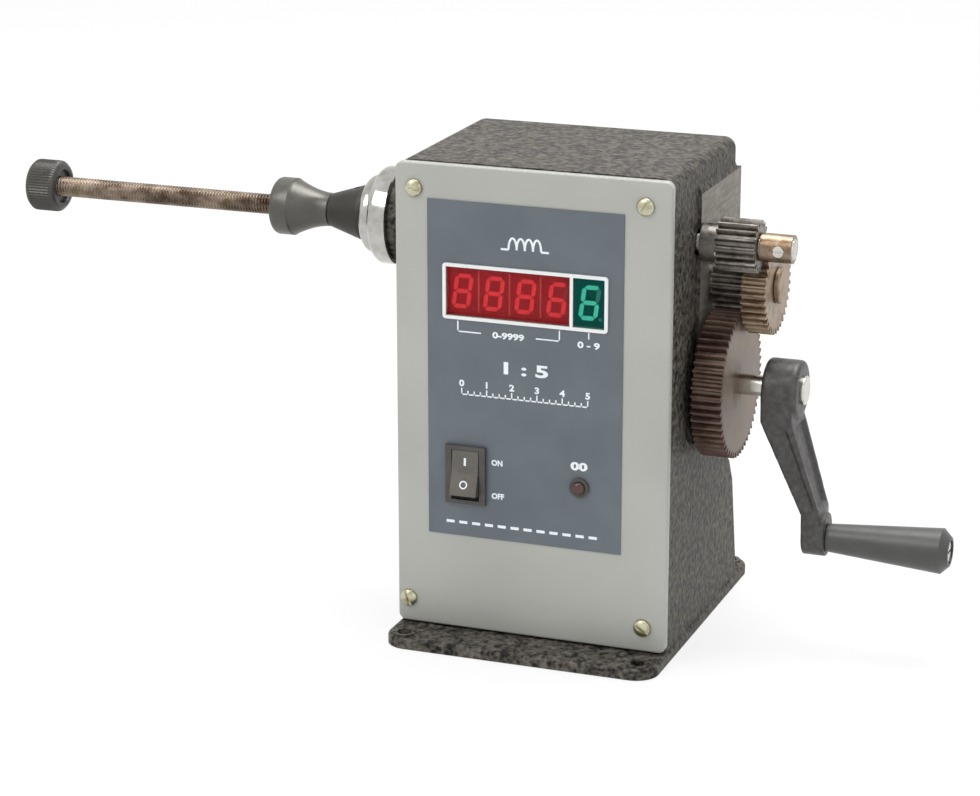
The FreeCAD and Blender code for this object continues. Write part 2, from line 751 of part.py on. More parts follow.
# ---------------------------------------------------------------- casing
def casting():
    """The cast box with its foot flange, rear plinth, machined pad, bosses, lugs and holes."""
    half, top = number("casing_half"), number("casing_top")
    back = number("casing_back")
    corner, rear, crown = number("base_corner"), number("rear_round"), number("top_round")
    flange_top = number("base_thickness")
    cornered = rounded(box("-base_width / 2", "-base_depth / 2", "0", "base_width", "base_depth",
                           "base_thickness"),
                       (corner, lambda edge: along(edge, 2)))
    flange = rounded(cornered, (number("base_edge_round"), lambda edge: at(edge, 2, flange_top)))
    block = rounded(box("-casing_half", "casing_front", "0", "casing_width", "casing_depth", "casing_top"),
                    (rear, lambda edge: along(edge, 2) and at(edge, 1, back)),
                    (crown, lambda edge: at(edge, 2, top) and (at(edge, 1, back) or at(edge, 0, half)
                                                               or at(edge, 0, -half))))
    step = prism("YZ", [("0", "0"), ("rear_round + casing_wall + plinth_depth", "0"),
                        ("rear_round + casing_wall + plinth_shelf", "plinth_height"),
                        ("rear_round + casing_wall", "plinth_height + plinth_slope"),
                        ("0", "plinth_height + plinth_slope")],
                 "casing_width", "-casing_half", "casing_back - rear_round - casing_wall", "0")
    plinth = rounded(step, (number("plinth_round"), lambda edge: not along(edge, 0)
                            and edge.BoundBox.Center.z > flange_top and edge.BoundBox.Center.y > back))
    pad = prism("YZ", [("0", "0"), ("casing_back - pad_front", "0"),
                       ("casing_back - pad_front", "pad_top - pad_bottom"),
                       ("0", "pad_top - pad_bottom")],
                "pad_rise + casing_wall / 2", "casing_half - casing_wall / 2", "pad_front", "pad_bottom")
    flank = prism("XZ", [("0", "0"), ("pad_rise", "0"), ("0", "pad_flank")],
                  "casing_back - pad_front - rear_round", "casing_half", "pad_front", "pad_top")
    boss = rod("X", "boss_radius", "boss_length + casing_wall / 2", "-boss_face", "spindle_back",
               "spindle_height")
    rings = [rod("Z", "foot_ring_radius", "base_thickness + foot_ring_rise",
                 f"{side} * foot_spacing_wide / 2", f"{end} * foot_spacing_deep / 2", "0")
             for side in (-1, 1) for end in (-1, 1)]
    outside = fuse(flange, block, plinth, pad, flank, boss, *rings)
    room = box("-inner_half", "casing_front - over", "casing_floor", "2 * inner_half",
               "inner_back - casing_front + over", "inner_top - casing_floor")
    # the plinth is hollow too, with a wall as thick as the casing's behind it
    bay = prism("YZ", [("0", "0"),
                       ("over + plinth_depth - (plinth_depth - plinth_shelf) * casing_floor / plinth_height",
                        "0"),
                       ("over + plinth_shelf", "plinth_height - casing_floor"),
                       ("over", "plinth_height + plinth_slope - casing_floor"),
                       ("0", "plinth_height + plinth_slope - casing_floor")],
                "2 * inner_half", "-inner_half", "inner_back - over", "casing_floor")
    shell = cut(outside, room, bay)
    inner_boss = rod("X", "boss_radius", "inner_boss_depth + casing_wall / 2", "inner_boss_end",
                     "spindle_back", "spindle_height")
    crank_boss = rod("X", "crank_boss_radius", "crank_boss_depth + casing_wall / 2", "crank_bush_end",
                     "crank_back", "crank_height")
    lugs = [box(f"{across} - lug_half", "casing_front", f"{height} - lug_half", "2 * lug_half", "lug_depth",
                "2 * lug_half")
            for across, height in PANEL_SCREWS]
    trim = box("-casing_half + casing_wall / 2", "casing_front", "casing_floor / 2",
               "casing_width - casing_wall", "lug_depth", "casing_top - casing_floor")
    body = fuse(shell, inner_boss, crank_boss, common(fuse(*lugs), trim))
    holes = [
        # left bearing seat and the way through to the inside
        rod("X", "bearing_outer_radius + fit_gap", "bearing_width + cap_spigot + fit_gap", "-boss_face",
            "spindle_back", "spindle_height"),
        rod("X", "bearing_lip", "boss_length + casing_wall + over", "-boss_face", "spindle_back",
            "spindle_height"),
        # right bearing seat, bored from inside, and the hole for the spindle's tail
        rod("X", "bearing_outer_radius + fit_gap", "bearing_width + cap_spigot + fit_gap",
            "inner_boss_end", "spindle_back", "spindle_height"),
        rod("X", "bearing_lip", "inner_boss_depth", "inner_boss_end", "spindle_back",
            "spindle_height"),
        rod("X", "rod_radius + shaft_hole_gap", "pad_face + over", "0", "spindle_back", "spindle_height"),
        # crank bush and idler stud
        rod("X", "crank_bush_radius + fit_gap", "pad_face - crank_bush_end + 2 * over",
            "crank_bush_end - over", "crank_back", "crank_height"),
        rod("X", "stud_radius + fit_gap", "casing_wall + pad_rise + 2 * over", "inner_half - over",
            "idler_back", "idler_height"),
        # cable gland
        rod("Y", "gland_thread_radius + cutout_gap", "casing_wall + 2 * over", "gland_across",
            "inner_back - over", "gland_height"),
    ]
    for side in (-1, 1):
        for end in (-1, 1):
            holes.append(rod("Z", "foot_hole_radius", "base_thickness + foot_ring_rise + 2 * over",
                             f"{side} * foot_spacing_wide / 2", f"{end} * foot_spacing_deep / 2", "-over"))
        # bracket screws, into the rear wall
        holes.append(rod("Y", "board_screw_radius + fit_gap",
                         "board_screw_length - bracket_thickness + fit_gap",
                         f"encoder_across + {side} * sensor_plate_width / 4", "inner_back",
                         "sensor_bottom + sensor_plate_upstand / 2"))
        # transformer strap screws, into the floor
        holes.append(rod("Z", "board_screw_radius + fit_gap", "casing_floor",
                         f"transformer_across + {side} * (transformer_strap_width / 2 - board_hole_inset)",
                         "transformer_back", "casing_floor / 4"))
    for across, height in PANEL_SCREWS:
        holes.append(rod("Y", "panel_screw_radius + fit_gap", "panel_screw_length - panel_thickness + over",
                         across, "casing_front", height))
    return finished("casting", cut(body, *holes))


def front_panel():
    """The pressed plate over the open front, cut out for the display, the switch and the button."""
    corner, edge_round = number("panel_corner"), number("panel_edge_round")
    face = number("panel_face")
    plate = box("-panel_width / 2", "panel_face", "panel_bottom", "panel_width", "panel_thickness",
                "panel_top - panel_bottom")
    cornered = rounded(plate, (corner, lambda edge: along(edge, 1)))
    softened = rounded(cornered, (edge_round, lambda edge: at(edge, 1, face)))
    tools = [
        box("window_left", "panel_face - over", "window_low", "window_right - window_left",
            "panel_thickness + 2 * over", "window_high - window_low"),
        box("switch_across - switch_body_width / 2 - cutout_gap", "panel_face - over",
            "control_height - switch_body_tall / 2 - cutout_gap", "switch_body_width + 2 * cutout_gap",
            "panel_thickness + 2 * over", "switch_body_tall + 2 * cutout_gap"),
        rod("Y", "button_neck_radius + cutout_gap", "panel_thickness + 2 * over", "button_across",
            "panel_face - over", "control_height"),
    ]
    for across, height in PANEL_SCREWS:
        tools.append(rod("Y", "panel_screw_radius + 2 * cutout_gap", "panel_thickness + 2 * over", across,
                         "panel_face - over", height))
    return finished("front_panel", cut(softened, *tools))


def panel_screws():
    screws = [screw(1, "panel_screw_radius", "panel_screw_length", "panel_screw_head_radius",
                    "panel_screw_head_height", "panel_screw_slot", across, "panel_face", height)
              for across, height in PANEL_SCREWS]
    return finished("panel_screws", group(*screws))


def overlay():
    """The printed sheet on the panel, with the same cut-outs."""
    sheet_box = box("overlay_left", "overlay_face", "overlay_bottom", "overlay_right - overlay_left",
                    "overlay_thickness", "overlay_top - overlay_bottom")
    tools = [
        box("window_left", "overlay_face - over", "window_low", "window_right - window_left",
            "overlay_thickness + 2 * over", "window_high - window_low"),
        box("switch_across - switch_body_width / 2 - cutout_gap", "overlay_face - over",
            "control_height - switch_body_tall / 2 - cutout_gap", "switch_body_width + 2 * cutout_gap",
            "overlay_thickness + 2 * over", "switch_body_tall + 2 * cutout_gap"),
        rod("Y", "button_neck_radius + cutout_gap", "overlay_thickness + 2 * over", "button_across",
            "overlay_face - over", "control_height"),
    ]
    return finished("overlay", cut(sheet_box, *tools))


# ---------------------------------------------------------------- display
def display():
    """Bezel with its divider, the two windows, the digit modules and their board."""
    outer = box("window_left - bezel_width", "overlay_face - bezel_rise", "window_low - bezel_width",
                "window_right - window_left + 2 * bezel_width", "bezel_rise",
                "window_high - window_low + 2 * bezel_width")
    frame = rounded(outer, (number("bezel_width"), lambda edge: along(edge, 1)))
    red_hole = box("window_left", "overlay_face - bezel_rise - over", "window_low",
                   "red_width + window_gap", "bezel_rise + 2 * over", "window_high - window_low")
    green_hole = box("green_left", "overlay_face - bezel_rise - over", "window_low",
                     "window_right - green_left", "bezel_rise + 2 * over", "window_high - window_low")
    finished("display_bezel", cut(frame, red_hole, green_hole))
    for label, left, wide in (("red_window", "window_left + window_gap", "red_width - window_gap"),
                              ("green_window", "green_left + window_gap", "digit_width - window_gap")):
        finished(label, box(left, "overlay_face", "window_low + window_gap", wide, "window_thickness",
                            "digit_tall"))
    reds = [box(f"window_left + window_gap + {i} * digit_width", "digit_front", "window_low + window_gap",
                "digit_width - window_gap", "digit_depth", "digit_tall")
            for i in range(round(number("red_digit_count")))]
    finished("red_digits", group(*reds))
    finished("green_digit", box("green_left + window_gap", "digit_front", "window_low + window_gap",
                                "digit_width - window_gap", "digit_depth", "digit_tall"))
    board = box("display_board_left", "display_board_front", "display_board_bottom",
                "display_board_right - display_board_left", "board_thickness",
                "display_board_top - display_board_bottom")
    holes = [rod("Y", "board_screw_radius + cutout_gap", "board_thickness + 2 * over", across,
                 "display_board_front - over", height)
             for across, height in display_board_corners()]
    finished("display_board", cut(board, *holes))
    behind = "display_board_front + board_thickness"
    chip = box("display_board_left + chip_inset", behind, "display_board_bottom + chip_rise",
               "chip_width", "chip_depth", "chip_tall")
    crystal = box("display_board_right - crystal_inset - crystal_width", behind,
                  "display_board_bottom + crystal_rise", "crystal_width", "crystal_depth", "crystal_tall")
    plug = box("display_board_left + plug_inset", behind, "display_board_bottom + plug_rise",
               "plug_width", "plug_depth", "plug_tall")
    finished("board_components", group(chip, crystal, plug))


def display_board_corners():
    return [(across, height)
            for across in ("display_board_left + board_hole_inset", "display_board_right - board_hole_inset")
            for height in ("display_board_bottom + board_hole_inset", "display_board_top - board_hole_inset")]


def power_board_corners():
    return [(across, back)
            for across in ("power_board_left + board_hole_inset", "power_board_right - board_hole_inset")
            for back in ("power_board_front + board_hole_inset", "power_board_back - board_hole_inset")]


def power_board():
    board = box("power_board_left", "power_board_front", "power_board_bottom",
                "power_board_right - power_board_left", "power_board_back - power_board_front",
                "board_thickness")
    holes = [rod("Z", "board_screw_radius + cutout_gap", "board_thickness + 2 * over", across, back,
                 "power_board_bottom - over")
             for across, back in power_board_corners()]
    finished("power_board", cut(board, *holes))
    top = "power_board_bottom + board_thickness"
    capacitor = rod("Z", "capacitor_radius", "capacitor_tall", "power_board_left + capacitor_inset",
                    "power_board_front + capacitor_back", top)
    regulator = box("power_board_left + regulator_inset", "power_board_back - regulator_back", top,
                    "regulator_width", "regulator_depth", "regulator_tall")
    bridge = box("power_board_left + bridge_inset", "power_board_front + bridge_back", top,
                 "bridge_side", "bridge_side", "bridge_tall")
    finished("power_components", group(capacitor, regulator, bridge))


def standoffs_and_screws():
    """Threaded pillars behind the panel and on the floor, with one screw for each."""
    pillars, screws = [], []
    for across, height in display_board_corners():
        pillar = rod("Y", "standoff_radius", "display_board_front - casing_front", across, "casing_front",
                     height)
        bore = rod("Y", "board_screw_radius + fit_gap",
                   "display_board_front - casing_front + 2 * over", across, "casing_front - over", height)
        pillars.append(cut(pillar, bore))
        screws.append(screw(-1, "board_screw_radius", "board_screw_length", "board_screw_head_radius",
                            "board_screw_head_height", "board_screw_slot", across,
                            "display_board_front + board_thickness", height))
    for across, back in power_board_corners():
        pillar = rod("Z", "standoff_radius", "power_board_rise", across, back, "casing_floor")
        bore = rod("Z", "board_screw_radius + fit_gap", "power_board_rise", across, back,
                   "casing_floor + fit_gap")
        pillars.append(cut(pillar, bore))
        top = "power_board_bottom + board_thickness"
        shank = rod("Z", "board_screw_radius", "board_screw_length", across, back,
                    f"{top} - board_screw_length")
        head = rod("Z", "board_screw_head_radius", "board_screw_head_height", across, back, top)
        screws.append(fuse(shank, head))
    finished("standoffs", group(*pillars))
    finished("board_screws", group(*screws))


# ---------------------------------------------------------------- controls
def rocker_switch():
    bezel = box("switch_across - switch_bezel_width / 2", "switch_face",
                "control_height - switch_bezel_tall / 2", "switch_bezel_width", "switch_bezel_rise",
                "switch_bezel_tall")
    body = box("switch_across - switch_body_width / 2", "overlay_face",
               "control_height - switch_body_tall / 2", "switch_body_width", "switch_body_depth",
               "switch_body_tall")
    well = box("switch_across - rocker_width / 2 - rocker_side_gap", "switch_face - over",
               "control_height - rocker_tall / 2 - rocker_end_gap",
               "rocker_width + 2 * rocker_side_gap", "rocker_well + over",
               "rocker_tall + 2 * rocker_end_gap")
    finished("switch_body", cut(fuse(bezel, body), well))
    half = "rocker_tall / 2"
    rocker = prism("YZ", [("-rocker_end_rise", half), ("-rocker_middle_rise", "0"),
                          ("-rocker_end_rise", f"-{half}"), ("0", f"-{half}"),
                          ("rocker_keel", "-rocker_keel"), ("rocker_keel", "rocker_keel"), ("0", half)],
                   "rocker_width", "0", "0", "0")
    rocker.Placement = FreeCAD.Placement(
        FreeCAD.Vector(), FreeCAD.Rotation(FreeCAD.Vector(1, 0, 0), -number("rocker_tilt")))
    put(rocker, "switch_across - rocker_width / 2", "rocker_pivot", "control_height")
    finished("switch_rocker", rocker)
    blades = [box("switch_across - terminal_width / 2", "overlay_face + switch_body_depth",
                  f"control_height + {step} * switch_body_tall / 3 - terminal_thickness / 2",
                  "terminal_width", "terminal_length", "terminal_thickness")
              for step in (-1, 0, 1)]
    finished("switch_terminals", group(*blades))


def push_button():
    ring = rod("Y", "button_ring_radius", "button_ring_rise", "button_across", "button_face",
               "control_height")
    neck = rod("Y", "button_neck_radius", "button_shoulder - overlay_face + 2 * fit_gap",
               "button_across", "overlay_face - fit_gap", "control_height")
    drum = rod("Y", "button_body_radius", "button_body_length", "button_across", "button_shoulder",
               "control_height")
    bore = rod("Y", "button_cap_radius + button_slide_gap",
               "button_cap_length - button_cap_rise + button_travel + end_gap + over", "button_across",
               "button_face - over", "control_height")
    finished("button_housing", cut(fuse(ring, neck, drum), bore))
    nut = hexagon("Y", "button_nut_flats", "button_nut_thickness", "button_across", "casing_front",
                  "control_height")
    hole = rod("Y", "button_neck_radius + fit_gap", "button_nut_thickness + 2 * over", "button_across",
               "casing_front - over", "control_height")
    finished("button_nut", cut(nut, hole))
    stem = rod("Y", "button_cap_radius", "button_cap_length", "button_across",
               "button_face - button_cap_rise", "control_height")
    face = number("button_face") - number("button_cap_rise")
    finished("button_cap", rounded(stem, (number("button_cap_round"), lambda edge: at(edge, 1, face))))


# ---------------------------------------------------------------- mains side
def transformer():
    """A laminated core on a strap, with its winding round the middle limb."""
    bottom = "casing_floor + bracket_thickness"
    block = box("transformer_across - core_width / 2", "transformer_back - core_stack / 2", bottom,
                "core_width", "core_stack", "core_tall")
    pane = "(core_width - core_limb) / 2 - core_yoke"
    windows = [box(f"transformer_across + {side} * (core_limb + {pane}) / 2 - ({pane}) / 2",
                   "transformer_back - core_stack / 2 - over", f"{bottom} + core_yoke", pane,
                   "core_stack + 2 * over", "core_tall - 2 * core_yoke")
               for side in (-1, 1)]
    core = finished("transformer_core", cut(block, *windows))
    bobbin = box("transformer_across - core_width / 2 + core_yoke",
                 "transformer_back - core_stack / 2 - coil_overhang", f"{bottom} + core_yoke",
                 "core_width - 2 * core_yoke", "core_stack + 2 * coil_overhang",
                 "core_tall - 2 * core_yoke")
    finished("transformer_coil", cut(bobbin, core))
    strap = box("transformer_across - transformer_strap_width / 2",
                "transformer_back - transformer_strap_depth / 2", "casing_floor",
                "transformer_strap_width", "transformer_strap_depth", "bracket_thickness")
    spots = [f"transformer_across + {side} * (transformer_strap_width / 2 - board_hole_inset)"
             for side in (-1, 1)]
    holes = [rod("Z", "board_screw_radius + cutout_gap", "bracket_thickness + 2 * over", across,
                 "transformer_back", "casing_floor - over") for across in spots]
    finished("transformer_bracket", cut(strap, *holes))
    screws = []
    for across in spots:
        shank = rod("Z", "board_screw_radius", "casing_floor * 3 / 4 + bracket_thickness", across,
                    "transformer_back", "casing_floor / 4")
        head = rod("Z", "board_screw_head_radius", "board_screw_head_height", across,
                   "transformer_back", bottom)
        screws.append(fuse(shank, head))
    finished("transformer_screws", group(*screws))


def cable_gland():
    """A gland through the rear wall, open for a cord, with its nut inside."""
    thread = rod("Y", "gland_thread_radius", "casing_wall + gland_nut_thickness", "gland_across",
                 "inner_back - gland_nut_thickness", "gland_height")
    collar = hexagon("Y", "gland_flats", "gland_collar", "gland_across", "casing_back", "gland_height")
    dome = rod("Y", "gland_flats / 2 - gland_dome_inset", "gland_dome", "gland_across",
               "casing_back + gland_collar", "gland_height")
    tip = number("casing_back") + number("gland_collar") + number("gland_dome")
    nose = rounded(dome, (number("gland_dome_round"), lambda edge: at(edge, 1, tip)))
    bore = rod("Y", "gland_bore_radius",
               "casing_wall + gland_nut_thickness + gland_collar + gland_dome + 2 * over",
               "gland_across", "inner_back - gland_nut_thickness - over", "gland_height")
    finished("cable_gland", cut(fuse(thread, collar, nose), bore))
    nut = hexagon("Y", "gland_flats", "gland_nut_thickness", "gland_across",
                  "inner_back - gland_nut_thickness", "gland_height")
    hole = rod("Y", "gland_thread_radius + fit_gap", "gland_nut_thickness + 2 * over", "gland_across",
               "inner_back - gland_nut_thickness - over", "gland_height")
    finished("gland_nut", cut(nut, hole))


# ---------------------------------------------------------------- turn counter
def turn_counter():
    hub = rod("X", "encoder_hub_radius", "encoder_hub_length", "encoder_across", "spindle_back",
              "spindle_height")
    disc = rod("X", "encoder_radius", "encoder_thickness", "encoder_across - encoder_thickness",
               "spindle_back", "spindle_height")
    tools = [rod("X", "spindle_middle_radius + fit_gap", "encoder_hub_length + encoder_thickness + 2 * over",
                 "encoder_across - encoder_thickness - over", "spindle_back", "spindle_height")]
    slots = round(number("encoder_slots"))
    for i in range(slots):
        slot = prism("YZ", [("-encoder_slot_width / 2", "encoder_radius - encoder_slot_depth"),
                            ("encoder_slot_width / 2", "encoder_radius - encoder_slot_depth"),
                            ("encoder_slot_width / 2", "encoder_radius + over"),
                            ("-encoder_slot_width / 2", "encoder_radius + over")],
                     "encoder_thickness + 2 * over", "0", "0", "0")
        tools.append(on_spindle(slot, "encoder_across - encoder_thickness - over", 360.0 * (i + 0.5) / slots))
    tools.append(rod("Z", "grub_radius + fit_gap", "encoder_hub_radius + over",
                     "encoder_across + encoder_hub_length / 2", "spindle_back", "spindle_height"))
    finished("encoder_disc", cut(fuse(hub, disc), *tools))
    middle = "encoder_across - encoder_thickness / 2"
    fork = box(f"{middle} - sensor_width / 2", "spindle_back - sensor_depth / 2", "sensor_bottom",
               "sensor_width", "sensor_depth", "sensor_tall")
    gap = box(f"{middle} - sensor_slot / 2", "spindle_back - sensor_depth / 2 - over",
              "sensor_top - sensor_slot_depth", "sensor_slot", "sensor_depth + 2 * over",
              "sensor_slot_depth + over")
    bore = rod("Z", "board_screw_radius + fit_gap", "board_screw_length - bracket_thickness", middle,
               "spindle_back", "sensor_bottom")
    finished("sensor", cut(fork, gap, bore))
    front = "spindle_back - sensor_depth / 2 - sensor_plate_overhang"
    shelf = box("encoder_across - sensor_plate_width / 2", front, "sensor_bottom - bracket_thickness",
                "sensor_plate_width", f"inner_back - ({front})", "bracket_thickness")
    upstand = box("encoder_across - sensor_plate_width / 2", "inner_back - bracket_thickness",
                  "sensor_bottom - bracket_thickness", "sensor_plate_width", "bracket_thickness",
                  "sensor_plate_upstand + bracket_thickness")
    across_pair = [f"encoder_across + {side} * sensor_plate_width / 4" for side in (-1, 1)]
    screw_height = "sensor_bottom + sensor_plate_upstand / 2"
    holes = [rod("Y", "board_screw_radius + cutout_gap", "bracket_thickness + 2 * over", across,
                 "inner_back - bracket_thickness - over", screw_height) for across in across_pair]
    holes.append(rod("Z", "board_screw_radius + cutout_gap", "bracket_thickness + 2 * over", middle,
                     "spindle_back", "sensor_bottom - bracket_thickness - over"))
    finished("sensor_bracket", cut(fuse(shelf, upstand), *holes))
    screws = [screw(1, "board_screw_radius", "board_screw_length", "board_screw_head_radius",
                    "board_screw_head_height", "board_screw_slot", across,
                    "inner_back - bracket_thickness", screw_height) for across in across_pair]
    shank = rod("Z", "board_screw_radius", "board_screw_length - fit_gap", middle, "spindle_back",
                "sensor_bottom - bracket_thickness")
    head = rod("Z", "board_screw_head_radius", "board_screw_head_height", middle, "spindle_back",
               "sensor_bottom - bracket_thickness - board_screw_head_height")
    screws.append(fuse(shank, head))
    finished("bracket_screws", group(*screws))


# ---------------------------------------------------------------- spindle line
def spindle():
    """One turned shaft: threaded coil rod, left journal, thick middle, right journal and gear tail."""
    end = "(nut_end + end_gap)"
    journal = "cone_wide_end + end_gap"
    middle = "bearing_left + bearing_width"
    profile = [("0", "0"), ("0", "rod_radius"),
               (f"{journal} - {end}", "rod_radius"), (f"{journal} - {end}", "journal_radius"),
               (f"{middle} - {end}", "journal_radius"), (f"{middle} - {end}", "spindle_middle_radius"),
               (f"bearing_right - {end}", "spindle_middle_radius"),
               (f"bearing_right - {end}", "journal_radius"),
               (f"spindle_step_right - {end}", "journal_radius"),
               (f"spindle_step_right - {end}", "rod_radius"),
               (f"tail_collar_end + tail_reach - {end}", "rod_radius"),
               (f"tail_collar_end + tail_reach - {end}", "0")]
    finished("spindle", turned(end, "spindle_back", "spindle_height", profile))


def bearings():
    """Two ball bearings: outer rings held by the casing, inner rings on the spindle, balls between."""
    outers, inners, balls = [], [], []
    count = round(number("ball_count"))
    for start in ("bearing_left", "bearing_right"):
        outers.append(turned(start, "spindle_back", "spindle_height",
                             [("0", "race_outer_radius"), ("0", "bearing_outer_radius"),
                              ("bearing_width", "bearing_outer_radius"),
                              ("bearing_width", "race_outer_radius")]))
        inners.append(turned(start, "spindle_back", "spindle_height",
                             [("0", "journal_radius + fit_gap"), ("0", "race_inner_radius"),
                              ("bearing_width", "race_inner_radius"),
                              ("bearing_width", "journal_radius + fit_gap")]))
        for i in range(count):
            turn = 360.0 * i / count
            ball = doc.addObject("Part::Sphere", scratch_name("ball"))
            bind(ball, Radius="ball_radius")
            put(ball, f"{start} + bearing_width / 2",
                f"spindle_back + ball_circle_radius * cos({turn})",
                f"spindle_height + ball_circle_radius * sin({turn})")
            balls.append(ball)
    finished("bearing_outer_rings", group(*outers))
    finished("bearing_inner_rings", group(*inners))
    finished("bearing_balls", group(*balls))


def bearing_cap():
    """The bright stepped cap over the left bearing, with a spigot against the outer ring."""
    hole = "journal_radius + shaft_hole_gap"
    flange_end = "cap_hub_length + cap_flange"
    cap = turned("cap_end", "spindle_back", "spindle_height",
                 [("0", hole), ("0", "cap_hub_radius - cap_round"),
                  ("cap_round", "cap_hub_radius"), ("cap_hub_length", "cap_hub_radius"),
                  ("cap_hub_length", "cap_radius - cap_round"),
                  ("cap_hub_length + cap_round", "cap_radius"), (flange_end, "cap_radius"),
                  (flange_end, "bearing_outer_radius - fit_gap"),
                  (f"{flange_end} + cap_spigot", "bearing_outer_radius - fit_gap"),
                  (f"{flange_end} + cap_spigot", "race_outer_radius + 2 * fit_gap"),
                  (f"{flange_end} - cap_flange / 2", "race_outer_radius + 2 * fit_gap"),
                  (f"{flange_end} - cap_flange / 2", hole)])
    finished("bearing_cap", cap)


def cones_and_nut():
    """Fixed inner cone, sliding outer cone and knurled end nut, all on the threaded rod."""
    bore = "rod_radius + running_gap"
    inner = turned("cone_meeting", "spindle_back", "spindle_height",
                   [("0", "rod_radius + fit_gap"), ("0", "cone_narrow_radius"),
                    ("cone_length - cone_land", "cone_wide_radius"), ("cone_length", "cone_wide_radius"),
                    ("cone_length", "rod_radius + fit_gap")])
    grub = rod("Z", "grub_radius + fit_gap", "cone_wide_radius + over", "cone_wide_end - cone_grub_setback",
               "spindle_back", "spindle_height")
    finished("inner_cone", cut(inner, grub))
    flank = [(f"outer_cone_band + {far} * (outer_cone_length - outer_cone_band)",
              f"cone_narrow_radius + {left} * (outer_cone_radius - cone_narrow_radius)")
             for far, left in CONE_FLANK]
    outer = turned("outer_cone_start", "spindle_back", "spindle_height",
                   [("0", bore), ("0", "outer_cone_radius - outer_cone_chamfer"),
                    ("outer_cone_chamfer", "outer_cone_radius"), ("outer_cone_band", "outer_cone_radius"),
                    *flank, ("outer_cone_length", "cone_narrow_radius"), ("outer_cone_length", bore)])
    finished("outer_cone", outer)
    nut = turned("nut_end", "spindle_back", "spindle_height",
                 [("0", bore), ("0", "nut_radius - nut_chamfer"), ("nut_chamfer", "nut_radius"),
                  ("nut_length - nut_chamfer", "nut_radius"), ("nut_length", "nut_radius - nut_chamfer"),
                  ("nut_length", "nut_recess_radius"),
                  ("nut_length - nut_recess_depth", "nut_recess_radius"),
                  ("nut_length - nut_recess_depth", bore)])
    finished("end_nut", nut)


def spindle_gear_end():
    """Pinion with its hub, the brass tail collar and the set screws on the spindle line."""
    wheel = toothed_wheel("pinion", "spindle_pinion_teeth", "pinion_width",
                          spindle_pinion_phase(), "pinion_teeth_start", "spindle_back", "spindle_height")
    hub = rod("X", "pinion_hub_radius", "pinion_hub_length + over", "pinion_hub_start", "spindle_back",
              "spindle_height")
    bore = rod("X", "rod_radius + fit_gap", "pinion_hub_length + pinion_width + 2 * over",
               "pinion_hub_start - over", "spindle_back", "spindle_height")
    hub_middle = "pinion_hub_start + pinion_hub_length / 2"
    grub = rod("Z", "grub_radius + fit_gap", "pinion_hub_radius + over", hub_middle, "spindle_back",
               "spindle_height")
    finished("spindle_pinion", cut(fuse(wheel, hub), bore, grub))
    grubs = []
    for across, reach, seat in (
            ("cone_wide_end - cone_grub_setback", "cone_wide_radius - cone_grub_sink", "rod_radius"),
            ("encoder_across + encoder_hub_length / 2", "encoder_hub_radius - grub_sink",
             "spindle_middle_radius"),
            (hub_middle, "pinion_hub_radius - grub_sink", "rod_radius")):
        grubs.append(rod("Z", "grub_radius", f"{reach} - {seat} - running_gap", across, "spindle_back",
                         f"spindle_height + {seat} + running_gap"))
    finished("spindle_grub_screws", group(*grubs))
    collar = turned("tail_collar_start", "spindle_back", "spindle_height",
                    [("0", "rod_radius + fit_gap"), ("0", "tail_collar_radius"),
                     ("tail_collar_length", "tail_collar_radius"),
                     ("tail_collar_length", "rod_radius + fit_gap")])
    middle = "tail_collar_end - tail_screw_inset"
    tapped = rod("Y", "tail_screw_radius + fit_gap", "tail_collar_radius + over", middle,
                 "spindle_back - tail_collar_radius - over", "spindle_height")
    finished("tail_collar", cut(collar, tapped))
    shank = rod("Y", "tail_screw_radius", "tail_collar_radius + tail_screw_rise - rod_radius - running_gap",
                middle, "spindle_back - tail_collar_radius - tail_screw_rise", "spindle_height")
    slot = box(f"{middle} - tail_screw_radius", "spindle_back - tail_collar_radius - tail_screw_rise",
               "spindle_height - tail_screw_slot / 2", "2 * tail_screw_radius", "tail_screw_slot",
               "tail_screw_slot")
    finished("collar_screw", cut(shank, slot))


# ---------------------------------------------------------------- gear train
def spindle_pinion_phase():
    """The pinion's first tooth points straight at the idler."""
    return number("idler_angle") - 90.0


def idler_gear_phase():
    """The idler gear shows a gap to the spindle pinion's tooth."""
    return number("idler_angle") + 90.0 + 180.0 / number("idler_gear_teeth")


def idler_pinion_phase():
    """The idler pinion's first tooth points straight at the drive gear."""
    return -90.0 - number("drive_angle")


def drive_gear_phase():
    """The drive gear shows a gap to the idler pinion's tooth."""
    return 90.0 - number("drive_angle") + 180.0 / number("drive_gear_teeth")


